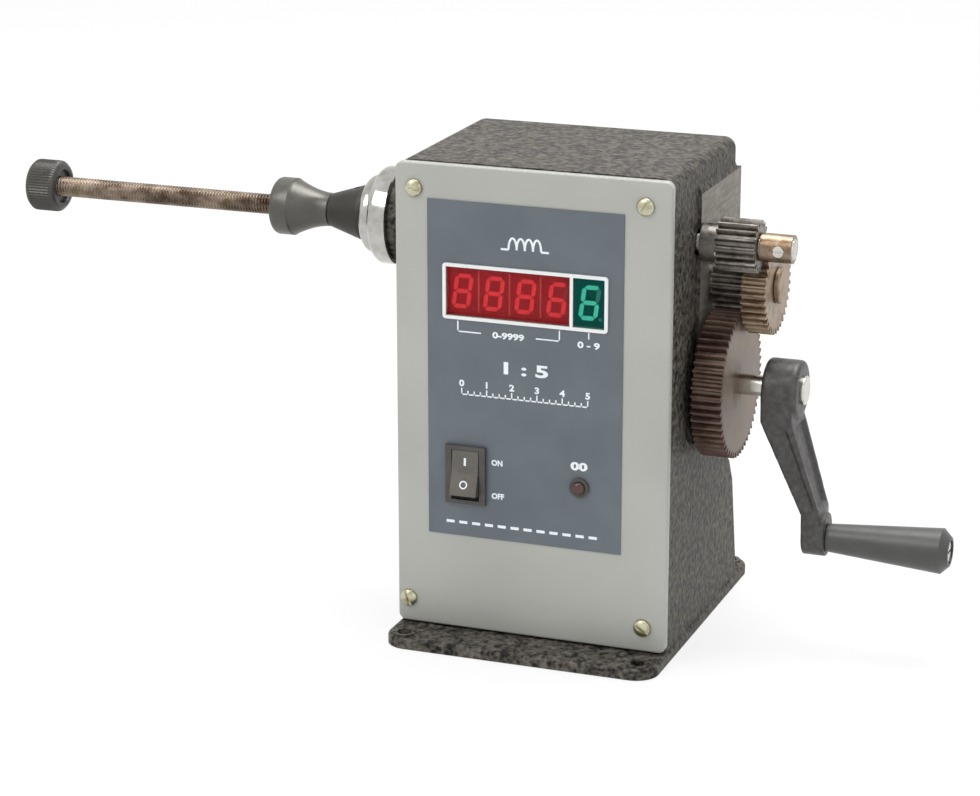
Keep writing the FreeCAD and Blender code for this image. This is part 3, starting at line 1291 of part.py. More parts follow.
def idler():
    """Stud through the wall, spacer, bush, and the pinion with the bronze gear on its sleeve."""
    shaft_start = "inner_half - stud_nut_thickness - stud_end_length"
    shank_length = f"idler_gear_end + end_gap - ({shaft_start})"
    stud = turned(shaft_start, "idler_back", "idler_height",
                  [("0", "0"), ("0", "stud_radius"), (shank_length, "stud_radius"),
                   (shank_length, "stud_head_radius"),
                   (f"{shank_length} + stud_head_height - stud_chamfer", "stud_head_radius"),
                   (f"{shank_length} + stud_head_height", "stud_head_radius - stud_chamfer"),
                   (f"{shank_length} + stud_head_height", "0")])
    finished("idler_stud", stud)
    nut = hexagon("X", "stud_nut_flats", "stud_nut_thickness", "inner_half - stud_nut_thickness",
                  "idler_back", "idler_height")
    hole = rod("X", "stud_radius + fit_gap", "stud_nut_thickness + 2 * over",
               "inner_half - stud_nut_thickness - over", "idler_back", "idler_height")
    finished("idler_nut", cut(nut, hole))
    finished("idler_spacer", turned("pad_face", "idler_back", "idler_height",
                                    [("0", "stud_radius + fit_gap"), ("0", "stud_head_radius"),
                                     ("idler_pinion_start - end_gap - pad_face", "stud_head_radius"),
                                     ("idler_pinion_start - end_gap - pad_face",
                                      "stud_radius + fit_gap")]))
    length = "idler_gear_end - idler_pinion_start"
    finished("idler_bush", turned("idler_pinion_start", "idler_back", "idler_height",
                                  [("0", "stud_radius + running_gap"), ("0", "idler_bush_radius"),
                                   (length, "idler_bush_radius"),
                                   (length, "stud_radius + running_gap")]))
    place("idler_pinion_width", "idler_pinion_end - idler_pinion_start")
    doc.recompute()
    wheel = toothed_wheel("idler_pinion", "idler_pinion_teeth", "idler_pinion_width",
                          idler_pinion_phase(), "idler_pinion_start", "idler_back", "idler_height")
    sleeve = rod("X", "idler_sleeve_radius", f"{length} - over", "idler_pinion_start + over", "idler_back",
                 "idler_height")
    bore = rod("X", "idler_bush_radius + fit_gap", f"{length} + 2 * over", "idler_pinion_start - over",
               "idler_back", "idler_height")
    finished("idler_pinion", cut(fuse(wheel, sleeve), bore))
    gear = toothed_wheel("idler_gear", "idler_gear_teeth", "idler_gear_width", idler_gear_phase(),
                         "idler_gear_start", "idler_back", "idler_height")
    gear_bore = rod("X", "idler_sleeve_radius + fit_gap", "idler_gear_width + 2 * over",
                    "idler_gear_start - over", "idler_back", "idler_height")
    finished("idler_gear", cut(gear, gear_bore))


def crank_train():
    """Bush in the wall, crank shaft, its inner collar, and the keyed drive gear."""
    length = "pad_face - crank_bush_end"
    finished("crank_bush", turned("crank_bush_end", "crank_back", "crank_height",
                                  [("0", "crank_shaft_radius + running_gap"), ("0", "crank_bush_radius"),
                                   (length, "crank_bush_radius"), (length, "crank_bush_flange_radius"),
                                   (f"{length} + crank_bush_flange", "crank_bush_flange_radius"),
                                   (f"{length} + crank_bush_flange",
                                    "crank_shaft_radius + running_gap")]))
    key_low = "crank_height + crank_shaft_radius - key_height / 2"
    key = box("drive_gear_start", "crank_back - key_width / 2", key_low, "drive_gear_width", "key_width",
              "key_height")
    finished("drive_key", key)
    keyway = box("drive_gear_start - fit_gap", "crank_back - key_width / 2 - fit_gap",
                 f"{key_low} - fit_gap", "drive_gear_width + 2 * fit_gap", "key_width + 2 * fit_gap",
                 "key_height + 2 * fit_gap")
    shaft = rod("X", "crank_shaft_radius", "crank_hub_end - crank_shaft_start", "crank_shaft_start",
                "crank_back", "crank_height")
    tapped = rod("X", "crank_screw_radius + fit_gap", "crank_screw_length + over",
                 "crank_hub_end - crank_screw_length - over", "crank_back", "crank_height")
    flat_seat = rod("Z", "grub_radius + fit_gap", "crank_shaft_radius",
                    "shaft_collar_start + shaft_collar_length / 2", "crank_back",
                    "crank_height + crank_shaft_radius - shaft_flat_depth")
    finished("crank_shaft", cut(shaft, tapped, keyway, flat_seat))
    collar = turned("shaft_collar_start", "crank_back", "crank_height",
                    [("0", "crank_shaft_radius + fit_gap"), ("0", "shaft_collar_radius"),
                     ("shaft_collar_length", "shaft_collar_radius"),
                     ("shaft_collar_length", "crank_shaft_radius + fit_gap")])
    collar_hole = rod("Z", "grub_radius + fit_gap", "shaft_collar_radius",
                      "shaft_collar_start + shaft_collar_length / 2", "crank_back", "crank_height + over")
    finished("shaft_collar", cut(collar, collar_hole))
    seat = "crank_shaft_radius - shaft_flat_depth + fit_gap"
    finished("shaft_collar_screw", rod("Z", "grub_radius", f"shaft_collar_radius - ({seat})",
                                       "shaft_collar_start + shaft_collar_length / 2", "crank_back",
                                       f"crank_height + {seat}"))
    wheel = toothed_wheel("drive_gear", "drive_gear_teeth", "drive_gear_width", drive_gear_phase(),
                          "drive_gear_start", "crank_back", "crank_height")
    hub_start = "pad_face + crank_bush_flange + drive_hub_gap"
    hub = rod("X", "drive_hub_radius", f"drive_gear_start - ({hub_start}) + over", hub_start, "crank_back",
              "crank_height")
    bore = rod("X", "crank_shaft_radius + fit_gap", "drive_gear_width + drive_gear_gap + 2 * over",
               "pad_face", "crank_back", "crank_height")
    finished("drive_gear", cut(fuse(wheel, hub), bore, keyway))


# ---------------------------------------------------------------- crank
def crank_arm():
    """A cast arm whose web slants outwards from the hub to the grip's boss.

    Its outer face is hollowed, and each side has a shallow groove along the slant."""
    hub_rod = rod("X", "crank_hub_radius", "crank_hub_length", "crank_hub_start", "crank_back",
                  "crank_height")
    hub = rounded(hub_rod, (number("crank_hub_round"), lambda edge: not along(edge, 0)))
    boss = rod("X", "crank_boss_end_radius", "crank_boss_length", "crank_boss_start", "crank_back",
               "grip_height")
    crown = rod("X", "crank_boss_end_radius", "crank_boss_length", "crank_boss_start", "crank_back",
                "grip_height + crank_boss_rise")
    cheeks = box("crank_boss_start", "crank_back - crank_boss_end_radius", "grip_height",
                 "crank_boss_length", "2 * crank_boss_end_radius", "crank_boss_rise")
    side = prism("XZ", [("0", "0"), ("crank_web_high", "0"), ("crank_web_high", "-crank_upper_bend"),
                        ("crank_web_end", "-crank_lower_bend"), ("crank_web_end", "-crank_throw"),
                        ("crank_offset", "-crank_throw"), ("crank_offset", "-crank_lower_bend"),
                        ("0", "-crank_upper_bend")],
                 "2 * crank_hub_radius", "crank_hub_start", "crank_back - crank_hub_radius",
                 "crank_height")
    plan = prism("YZ", [("crank_web_inset - crank_hub_radius", "0"),
                        ("-crank_boss_end_radius", "-crank_throw"),
                        ("crank_boss_end_radius", "-crank_throw"),
                        ("crank_hub_radius - crank_web_inset", "0")],
                 "crank_web_end + 2 * over", "crank_hub_start - over", "crank_back",
                 "crank_height")
    web = common(side, plan)
    hollow_side = prism("XZ", [("crank_web_high + crank_lean * crank_rim - crank_recess",
                                "-crank_upper_bend - crank_rim"),
                               ("crank_web_end + over", "-crank_upper_bend - crank_rim"),
                               ("crank_web_end + over", "-crank_lower_bend + crank_rim"),
                               ("crank_web_end - crank_lean * crank_rim - crank_recess",
                                "-crank_lower_bend + crank_rim")],
                        "2 * crank_hub_radius", "crank_hub_start", "crank_back - crank_hub_radius",
                        "crank_height")
    hollow_plan = prism("YZ", [("crank_web_inset - crank_hub_radius + crank_rim", "0"),
                               ("-crank_boss_end_radius + crank_rim", "-crank_throw"),
                               ("crank_boss_end_radius - crank_rim", "-crank_throw"),
                               ("crank_hub_radius - crank_web_inset - crank_rim", "0")],
                        "crank_web_end + 2 * over", "crank_hub_start - over", "crank_back",
                        "crank_height")
    hollow = common(hollow_side, hollow_plan)
    groove_side = prism("XZ", [("groove_high - crank_groove_width / 2", "-crank_upper_bend - crank_rim"),
                               ("groove_high + crank_groove_width / 2", "-crank_upper_bend - crank_rim"),
                               ("groove_low + crank_groove_width / 2", "-crank_lower_bend + crank_rim"),
                               ("groove_low - crank_groove_width / 2", "-crank_lower_bend + crank_rim")],
                        "2 * crank_hub_radius", "crank_hub_start", "crank_back - crank_hub_radius",
                        "crank_height")
    groove_plan = prism("YZ", [("crank_web_inset - crank_hub_radius + crank_groove_depth", "0"),
                               ("-crank_boss_end_radius + crank_groove_depth", "-crank_throw"),
                               ("crank_boss_end_radius - crank_groove_depth", "-crank_throw"),
                               ("crank_hub_radius - crank_web_inset - crank_groove_depth", "0")],
                        "crank_web_end + 2 * over", "crank_hub_start - over", "crank_back",
                        "crank_height")
    grooves = cut(groove_side, groove_plan)
    bore = rod("X", "crank_shaft_radius + fit_gap", "crank_hub_length + 2 * over", "crank_hub_start - over",
               "crank_back", "crank_height")
    pin_hole = rod("X", "grip_pin_thread_radius + fit_gap", "crank_boss_length + 2 * over",
                   "crank_boss_start - over", "crank_back", "grip_height")
    solid = fuse(hub, boss, crown, cheeks, cut(web, hollow, grooves))
    finished("crank_arm", cut(solid, bore, pin_hole))
    shank = rod("X", "crank_screw_radius", "crank_screw_length + crank_screw_head_height / 2",
                "crank_hub_end - crank_screw_length", "crank_back", "crank_height")
    head = rod("X", "crank_screw_head_radius", "crank_screw_head_height", "crank_hub_end", "crank_back",
               "crank_height")
    tip = number("crank_hub_end") + number("crank_screw_head_height")
    domed = rounded(head, (number("crank_screw_round"), lambda edge: at(edge, 0, tip)))
    finished("crank_screw", fuse(shank, domed))


def grip():
    """The turning grip and the shoulder pin it turns on."""
    start = "crank_boss_start + grip_pin_inset"
    shoulder = f"crank_boss_end - ({start})"
    neck = f"grip_end - grip_socket_depth + end_gap - ({start})"
    pin = turned(start, "crank_back", "grip_height",
                 [("0", "0"), ("0", "grip_pin_thread_radius"), (shoulder, "grip_pin_thread_radius"),
                  (shoulder, "grip_pin_radius"), (neck, "grip_pin_radius"),
                  (neck, "grip_pin_head_radius"),
                  (f"{neck} + grip_pin_head_height", "grip_pin_head_radius"),
                  (f"{neck} + grip_pin_head_height", "0")])
    slot = box("grip_end - grip_socket_depth + end_gap + grip_pin_head_height - grip_pin_slot",
               "crank_back - grip_pin_head_radius - over", "grip_height - grip_pin_slot / 2",
               "2 * grip_pin_slot", "2 * grip_pin_head_radius + 2 * over", "grip_pin_slot")
    finished("grip_pin", cut(pin, slot))
    bore = "grip_pin_radius + grip_bore_gap"
    handle = turned("grip_start", "crank_back", "grip_height",
                    [("0", bore), ("0", "grip_small_radius"),
                     ("grip_length - grip_chamfer", "grip_large_radius"),
                     ("grip_length", "grip_large_radius - grip_chamfer"),
                     ("grip_length", "grip_socket_radius"),
                     ("grip_length - grip_socket_depth", "grip_socket_radius"),
                     ("grip_length - grip_socket_depth", bore)])
    finished("grip", handle)


# ---------------------------------------------------------------- build, check and write
casting()
front_panel()
panel_screws()
overlay()
display()
power_board()
standoffs_and_screws()
rocker_switch()
push_button()
transformer()
cable_gland()
turn_counter()
spindle()
bearings()
bearing_cap()
cones_and_nut()
spindle_gear_end()
idler()
crank_train()
crank_arm()
grip()
doc.recompute()

for item in doc.Objects:
    if "Invalid" in item.State or "Error" in item.State:
        raise RuntimeError(f"{item.Name} ({item.Label}) failed: {item.State}")
for item in parts:
    if item.Shape.isNull() or not item.Shape.isValid() or not item.Shape.Solids:
        raise RuntimeError(f"{item.Label} has no valid solid")

os.makedirs("parts", exist_ok=True)
for item in parts:
    item.Shape.exportStep(f"parts/{item.Label}.step")
print(len(parts), "sub-parts written")
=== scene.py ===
"""Looks of the coil winding machine: camera, light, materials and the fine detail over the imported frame.

Lengths are written in millimetres and turned into metres by mm().
"""
import math

import bmesh
import bpy
from mathutils import Matrix, Vector


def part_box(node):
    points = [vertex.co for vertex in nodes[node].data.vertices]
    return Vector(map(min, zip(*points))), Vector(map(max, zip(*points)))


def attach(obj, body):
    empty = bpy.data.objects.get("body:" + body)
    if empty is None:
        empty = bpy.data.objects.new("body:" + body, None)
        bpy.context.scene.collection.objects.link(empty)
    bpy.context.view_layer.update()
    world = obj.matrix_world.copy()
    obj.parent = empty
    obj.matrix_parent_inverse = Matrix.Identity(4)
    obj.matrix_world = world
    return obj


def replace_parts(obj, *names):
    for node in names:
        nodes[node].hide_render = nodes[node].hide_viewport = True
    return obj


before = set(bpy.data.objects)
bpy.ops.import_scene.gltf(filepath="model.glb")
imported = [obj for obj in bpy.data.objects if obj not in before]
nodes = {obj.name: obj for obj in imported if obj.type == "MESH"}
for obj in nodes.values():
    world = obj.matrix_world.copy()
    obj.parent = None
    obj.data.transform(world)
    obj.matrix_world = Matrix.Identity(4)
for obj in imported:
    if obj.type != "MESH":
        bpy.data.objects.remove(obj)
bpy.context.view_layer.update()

MM = 0.001


def mm(*values):
    """Millimetres to metres, as a number or as a vector."""
    if len(values) == 1:
        return values[0] * MM
    return Vector(value * MM for value in values)


def low(node):
    """A node's lowest corner in millimetres."""
    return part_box(node)[0] / MM


def high(node):
    """A node's highest corner in millimetres."""
    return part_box(node)[1] / MM


def middle(node):
    return (low(node) + high(node)) / 2


# ---------------------------------------------------------------- places read from the solids
SPINDLE = middle("tail_collar")
CRANK = middle("shaft_collar")
FACE = low("overlay").y            # front of the printed sheet
PAD_FACE = low("idler_spacer").x   # machined pad on the right wall
CONTROLS = middle("switch_body").z


# ---------------------------------------------------------------- camera, light and ground
AZIMUTH = math.radians(20.51)
ELEVATION = math.radians(16.74)
DISTANCE = 1125.69
TARGET = Vector((-16.22, -50.0, 98.46))
LENS = 110.2


def add_camera():
    towards = Vector((math.sin(AZIMUTH) * math.cos(ELEVATION),
                      -math.cos(AZIMUTH) * math.cos(ELEVATION), math.sin(ELEVATION)))
    data = bpy.data.cameras.new("camera")
    data.lens = LENS
    data.sensor_width = 36.0
    data.clip_start = 0.01
    data.clip_end = 50.0
    camera = bpy.data.objects.new("camera", data)
    camera.location = (TARGET + towards * DISTANCE) * MM
    camera.rotation_euler = (-towards).to_track_quat("-Z", "Y").to_euler()
    bpy.context.scene.collection.objects.link(camera)
    bpy.context.scene.camera = camera


def add_light(name, location, target, size, power):
    """A square soft box at a point, in metres, aimed at another."""
    data = bpy.data.lights.new(name, "AREA")
    data.shape = "SQUARE"
    data.size = size
    data.energy = power
    light = bpy.data.objects.new(name, data)
    light.location = location
    light.rotation_euler = (Vector(target) - Vector(location)).to_track_quat("-Z", "Y").to_euler()
    bpy.context.scene.collection.objects.link(light)


# name, place and target in metres, size in metres and power in watts
LAMPS = (("key", (-1.1, -1.5, 1.9), (0.0, 0.0, 0.08), 1.2, 25.0),
         ("fill", (1.7, -1.3, 0.9), (0.0, 0.0, 0.08), 1.4, 3.6),
         ("top", (0.1, 0.35, 1.9), (0.0, 0.0, 0.10), 1.1, 39.0))


def seen_share(tree, unseen, seen):
    """One strength for what the camera sees, directly or in metal and glass, and another for light."""
    paths = tree.nodes.new("ShaderNodeLightPath")
    total = paths.outputs["Is Camera Ray"]
    for kind in ("Is Glossy Ray", "Is Transmission Ray"):
        either = tree.nodes.new("ShaderNodeMath")
        either.operation = "MAXIMUM"
        tree.links.new(total, either.inputs[0])
        tree.links.new(paths.outputs[kind], either.inputs[1])
        total = either.outputs[0]
    share = tree.nodes.new("ShaderNodeMapRange")
    share.inputs["To Min"].default_value = unseen
    share.inputs["To Max"].default_value = seen
    tree.links.new(total, share.inputs["Value"])
    return share.outputs["Result"]


def add_world():
    """Even white surroundings, plain white where the camera sees past the floor."""
    world = bpy.data.worlds.new("surroundings")
    bpy.context.scene.world = world
    world.use_nodes = True
    tree = world.node_tree
    background = tree.nodes["Background"]
    background.inputs["Color"].default_value = (1, 1, 1, 1)
    tree.links.new(seen_share(tree, 0.5, 1.0), background.inputs["Strength"])


def add_floor():
    """A white floor that keeps the shadow and reads as white to the camera."""
    mesh = bpy.data.meshes.new("floor")
    reach = 4.0
    mesh.from_pydata([(-reach, -reach, 0), (reach, -reach, 0), (reach, reach, 0), (-reach, reach, 0)],
                     [], [(0, 1, 2, 3)])
    floor = bpy.data.objects.new("floor", mesh)
    floor.location.z = -0.0003
    bpy.context.scene.collection.objects.link(floor)
    material = bpy.data.materials.new("floor_white")
    material.use_nodes = True
    tree = material.node_tree
    shader = tree.nodes["Principled BSDF"]
    shader.inputs["Base Color"].default_value = (0.85, 0.85, 0.85, 1)
    shader.inputs["Roughness"].default_value = 0.9
    shader.inputs["Specular IOR Level"].default_value = 0.1
    glow = tree.nodes.new("ShaderNodeEmission")
    glow.inputs["Strength"].default_value = 1.0
    mix = tree.nodes.new("ShaderNodeMixShader")
    tree.links.new(seen_share(tree, 0.0, 0.82), mix.inputs["Fac"])
    tree.links.new(shader.outputs[0], mix.inputs[1])
    tree.links.new(glow.outputs[0], mix.inputs[2])
    tree.links.new(mix.outputs[0], tree.nodes["Material Output"].inputs["Surface"])
    mesh.materials.append(material)


# ---------------------------------------------------------------- material kit
def tint(red, green, blue):
    """A colour as it looks on screen, 0 to 255, as the linear colour that a shader takes."""
    linear = []
    for value in (red, green, blue):
        share = value / 255
        linear.append(share / 12.92 if share <= 0.04045 else ((share + 0.055) / 1.055) ** 2.4)
    return (*linear, 1.0)


class Finish:
    """One procedural material: a Principled shader, and helpers that add variation, wear and bump."""

    def __init__(self, name, color, roughness=0.5, metallic=0.0, **sockets):
        self.material = bpy.data.materials.new(name)
        self.material.use_nodes = True
        self.tree = self.material.node_tree
        self.shader = self.tree.nodes["Principled BSDF"]
        self.base = color
        self.height = None
        self.shader.inputs["Base Color"].default_value = color
        self.shader.inputs["Roughness"].default_value = roughness
        self.shader.inputs["Metallic"].default_value = metallic
        for socket, value in sockets.items():
            self.shader.inputs[socket.replace("_", " ")].default_value = value
        self.material.diffuse_color = color
        coordinates = self.node("ShaderNodeTexCoord")
        self.place = coordinates.outputs["Object"]

    def node(self, kind, **settings):
        made = self.tree.nodes.new(kind)
        for name, value in settings.items():
            setattr(made, name, value)
        return made

    def link(self, source, target):
        self.tree.links.new(source, target)

    def stretched(self, across, back, height):
        """Coordinates squeezed along each axis, for brushed, drawn or turned surfaces."""
        mapping = self.node("ShaderNodeMapping")
        mapping.inputs["Scale"].default_value = (across, back, height)
        self.link(self.place, mapping.inputs["Vector"])
        return mapping.outputs["Vector"]

    def noise(self, size, detail=3.0, roughness=0.55, place=None):
        """Cloudy noise whose patches are about size millimetres across."""
        made = self.node("ShaderNodeTexNoise")
        made.inputs["Scale"].default_value = 1000.0 / size
        made.inputs["Detail"].default_value = detail
        made.inputs["Roughness"].default_value = roughness
        self.link(place or self.place, made.inputs["Vector"])
        return made.outputs["Fac"]

    def cells(self, size, smoothness=1.0):
        """Rounded cells about size millimetres across."""
        made = self.node("ShaderNodeTexVoronoi", feature="SMOOTH_F1")
        made.inputs["Scale"].default_value = 1000.0 / size
        made.inputs["Smoothness"].default_value = smoothness
        self.link(self.place, made.inputs["Vector"])
        return made.outputs["Distance"]

    def span(self, value, low_in, high_in, low_out=0.0, high_out=1.0):
        """Map a range of values onto another, held at its ends."""
        made = self.node("ShaderNodeMapRange")
        made.inputs["From Min"].default_value = low_in
        made.inputs["From Max"].default_value = high_in
        made.inputs["To Min"].default_value = low_out
        made.inputs["To Max"].default_value = high_out
        self.link(value, made.inputs["Value"])
        return made.outputs["Result"]

    def math(self, operation, first, second):
        made = self.node("ShaderNodeMath", operation=operation)
        for socket, value in zip(made.inputs, (first, second)):
            if isinstance(value, (int, float)):
                socket.default_value = value
            else:
                self.link(value, socket)
        return made.outputs[0]

    def blend(self, share, first, second):
        """A colour between two, each a colour or a socket."""
        made = self.node("ShaderNodeMix", data_type="RGBA")
        self.link(share, made.inputs["Factor"])
        for socket, value in ((made.inputs[6], first), (made.inputs[7], second)):
            if isinstance(value, tuple):
                socket.default_value = value
            else:
                self.link(value, socket)
        return made.outputs[2]

    def color(self, socket):
        self.link(socket, self.shader.inputs["Base Color"])
        self.base = socket
        return self

    def roughness(self, socket):
        self.link(socket, self.shader.inputs["Roughness"])
        return self

    def metallic(self, socket):
        self.link(socket, self.shader.inputs["Metallic"])
        return self

    def bump(self, height, depth, strength=1.0):
        """Relief of about depth millimetres from a height socket, over any relief already there."""
        made = self.node("ShaderNodeBump")
        made.inputs["Distance"].default_value = mm(depth)
        made.inputs["Strength"].default_value = strength
        self.link(height, made.inputs["Height"])
        if self.height:
            self.link(self.height, made.inputs["Normal"])
        self.height = made.outputs["Normal"]
        self.link(self.height, self.shader.inputs["Normal"])
        return self

    def soft_edges(self, radius):
        """Rounded shading on sharp edges, radius in millimetres."""
        made = self.node("ShaderNodeBevel", samples=4)
        made.inputs["Radius"].default_value = mm(radius)
        if self.height:
            self.link(self.height, made.inputs["Normal"])
        self.height = made.outputs["Normal"]
        self.link(self.height, self.shader.inputs["Normal"])
        return self

    def axis(self, index):
        """One coordinate, 0 for X, 1 for Y or 2 for Z, in metres."""
        made = self.node("ShaderNodeSeparateXYZ")
        self.link(self.place, made.inputs["Vector"])
        return made.outputs[index]

    def beyond(self, index, value, soft=0.1):
        """One where a coordinate is more than value millimetres."""
        return self.span(self.axis(index), mm(value - soft), mm(value + soft))

    def before(self, index, value, soft=0.1):
        return self.span(self.axis(index), mm(value - soft), mm(value + soft), 1.0, 0.0)

    def distance_from(self, across, back, height, stretch=(1, 1, 1)):
        """Distance in metres from a point in millimetres."""
        mapping = self.node("ShaderNodeMapping")
        mapping.inputs["Location"].default_value = [
            -mm(value) * scale for value, scale in zip((across, back, height), stretch)]
        mapping.inputs["Scale"].default_value = stretch
        self.link(self.place, mapping.inputs["Vector"])
        made = self.node("ShaderNodeVectorMath", operation="LENGTH")
        self.link(mapping.outputs["Vector"], made.inputs[0])
        return made.outputs["Value"]

    def glow(self, color, strength):
        self.shader.inputs["Emission Color"].default_value = color
        self.shader.inputs["Emission Strength"].default_value = strength
        return self


# ---------------------------------------------------------------- materials
def hammertone():
    """Hammered dark grey enamel on the casting, with painted shade darkening it towards the top, and the
    bare machined pad on its right wall.
    """
    f = Finish("hammertone_enamel", tint(74, 71, 66), roughness=0.45, Specular_IOR_Level=0.12)
    pad = f.math("MULTIPLY", f.beyond(0, PAD_FACE - 0.25, 0.15), f.beyond(1, PAD_FRONT + 0.1, 0.1))
    pad = f.math("MULTIPLY", pad, f.math("MULTIPLY", f.beyond(2, PAD_LOW, 0.4), f.before(2, PAD_HIGH, 0.1)))
    blotches = f.noise(3.0, detail=4.0, roughness=0.6)
    dimples = f.cells(1.7)
    fine = f.noise(1.1, detail=2.0)
    relief = f.math("ADD", f.math("MULTIPLY", dimples, 0.9), f.math("MULTIPLY", blotches, 1.1))
    relief = f.math("ADD", relief, f.math("MULTIPLY", fine, 0.25))
    shade = f.span(f.math("ADD", blotches, f.math("MULTIPLY", dimples, 0.35)), 0.50, 0.82)
    paint = f.blend(shade, tint(30, 28, 26), tint(108, 104, 96))
    # painted shade: the enamel blends towards a darker tint higher up the casting
    paint = f.blend(f.span(f.axis(2), mm(40.0), mm(150.0), 0.0, 0.25), paint, tint(46, 41, 38))
    streaks = f.noise(1.6, detail=3.0, place=f.stretched(1.0, 0.14, 1.0))
    bare = f.blend(f.span(streaks, 0.35, 0.7), tint(119, 114, 106), tint(146, 141, 132))
    f.color(f.blend(pad, paint, bare))
    f.roughness(f.span(blotches, 0.3, 0.7, 0.36, 0.58))
    f.metallic(f.math("MULTIPLY", pad, 0.35))
    painted = f.math("SUBTRACT", 1.0, pad)
    f.bump(f.math("MULTIPLY", relief, painted), 0.5, 0.8)
    return f.soft_edges(0.7).material


def panel_paint():
    """Light grey baked enamel with a faint orange peel."""
    f = Finish("panel_enamel", tint(170, 172, 166), roughness=0.42)
    drift = f.noise(60.0, detail=2.0)
    f.color(f.blend(f.span(drift, 0.3, 0.7), tint(160, 161, 155), tint(171, 172, 166)))
    f.roughness(f.span(f.noise(9.0), 0.3, 0.7, 0.36, 0.48))
    f.bump(f.noise(0.9, detail=1.0), 0.025, 0.6)
    return f.soft_edges(0.6).material


def overlay_print():
    """Blue-grey printed polyester with a fine matt grain."""
    f = Finish("overlay_print", tint(90, 98, 106), roughness=0.48)
    f.color(f.blend(f.span(f.noise(24.0), 0.3, 0.7), tint(86, 94, 101), tint(95, 103, 110)))
    f.roughness(f.span(f.noise(5.0), 0.3, 0.7, 0.42, 0.54))
    f.bump(f.noise(0.35, detail=1.0), 0.012, 0.6)
    return f.material


def plastic(name, color, roughness=0.35, grain=0.6, depth=0.02, spread=0.12, **sockets):
    """Moulded plastic: a slight drift of colour and a fine grain."""
    f = Finish(name, color, roughness=roughness, **sockets)
    dark = tuple(value * (1 - spread) for value in color[:3]) + (1.0,)
    pale = tuple(min(1.0, value * (1 + spread)) for value in color[:3]) + (1.0,)
    f.color(f.blend(f.span(f.noise(8.0), 0.3, 0.7), dark, pale))
    f.roughness(f.span(f.noise(3.0), 0.3, 0.7, roughness * 0.85, roughness * 1.15))
    f.bump(f.noise(grain, detail=2.0), depth, 0.7)
    return f.material


def metal(name, color, roughness=0.3, axis=0, line=0.5, depth=0.01, wear=0.25, metallic=1.0, soft=0.15,
          stain=None, stain_size=6.0):
    """Machined metal with tool lines square to one axis, smudged roughness and an optional stain."""
    f = Finish(name, color, roughness=roughness, metallic=metallic)
    squeeze = [0.12, 0.12, 0.12]
    squeeze[axis] = 1.0
    lines = f.noise(line, detail=2.0, place=f.stretched(*squeeze))
    smudge = f.noise(7.0, detail=4.0, roughness=0.6)
    dark = tuple(value * (1 - wear) for value in color[:3]) + (1.0,)
    shade = f.blend(f.span(smudge, 0.35, 0.65), dark, color)
    if stain:
        patches = f.noise(stain_size, detail=5.0, roughness=0.65)
        shade = f.blend(f.span(patches, 0.48, 0.62), shade, stain)
    f.color(shade)
    f.roughness(f.span(smudge, 0.3, 0.7, roughness * 0.8, min(1.0, roughness * 1.35)))
    f.bump(lines, depth, 0.5)
    return f.soft_edges(soft).material


def cast_paint(name, color, roughness=0.42):
    """Black stoving paint over a sand casting, mottled paler in lumps."""
    f = Finish(name, color, roughness=roughness)
    lumps = f.noise(2.4, detail=4.0)
    pale = tuple(min(1.0, value * 1.9 + 0.01) for value in color[:3]) + (1.0,)
    f.color(f.blend(f.span(lumps, 0.38, 0.72), color, pale))
    f.roughness(f.span(f.noise(4.0), 0.3, 0.7, roughness * 0.8, roughness * 1.2))
    f.bump(lumps, 0.16, 0.7)
    return f.soft_edges(0.9).material


def drive_gear_metal():
    """Brown-grey patinated steel with a brown patch round the shaft, off towards the front, that is rust
    together with the crank hub's painted shadow.
    """
    f = Finish("drive_gear_patina", tint(128, 112, 100), roughness=0.42, metallic=0.55)
    patches = f.noise(9.0, detail=5.0, roughness=0.6)
    shade = f.blend(f.span(patches, 0.35, 0.66), tint(108, 94, 82), tint(152, 136, 120))
    rim = f.span(f.distance_from(CRANK.x, CRANK.y, CRANK.z, (0, 1, 1)), mm(24.5), mm(27.5))
    shade = f.blend(rim, shade, f.blend(f.span(patches, 0.4, 0.6), tint(84, 62, 56), tint(112, 92, 80)))
    # painted shadow of the crank hub together with rust: a brown patch round the shaft, centred towards the
    # front
    ragged = f.math("ADD", f.distance_from(CRANK.x, CRANK.y - 5.0, CRANK.z + 1.5, (0, 1, 0.8)),
                    f.math("MULTIPLY", f.noise(5.0, detail=5.0), 0.008))
    rust_and_hub_shadow = f.span(ragged, mm(12.5), mm(8.5))
    shade = f.blend(rust_and_hub_shadow, shade, f.blend(f.span(patches, 0.4, 0.6), tint(82, 50, 26), tint(118, 76, 42)))
    f.color(shade)
    f.roughness(f.span(patches, 0.3, 0.7, 0.32, 0.55))
    f.bump(f.noise(0.8, detail=3.0), 0.03, 0.6)
    return f.soft_edges(0.15).material


def thread_metal():
    """Oily brown threaded steel, with brighter rubbed stretches."""
    f = Finish("rod_steel", tint(116, 96, 78), roughness=0.33, metallic=0.85)
    along = f.noise(7.0, detail=5.0, roughness=0.65, place=f.stretched(0.6, 1.0, 1.0))
    shade = f.blend(f.span(along, 0.36, 0.62), tint(84, 68, 56), tint(158, 143, 128))
    green = f.noise(14.0, detail=3.0)
    f.color(f.blend(f.span(green, 0.56, 0.7), shade, tint(116, 108, 72)))
    f.roughness(f.span(along, 0.3, 0.7, 0.26, 0.5))
    f.bump(f.noise(0.6, detail=2.0), 0.02, 0.5)
    return f.material


def chrome():
    f = Finish("chrome", tint(226, 226, 224), roughness=0.08, metallic=1.0)
    smudge = f.noise(6.0, detail=4.0)
    f.color(f.blend(f.span(smudge, 0.35, 0.7), tint(164, 162, 157), tint(194, 193, 189)))
    f.roughness(f.span(smudge, 0.3, 0.75, 0.05, 0.16))
    f.bump(f.noise(3.0, detail=2.0), 0.006, 0.4)
    return f.material


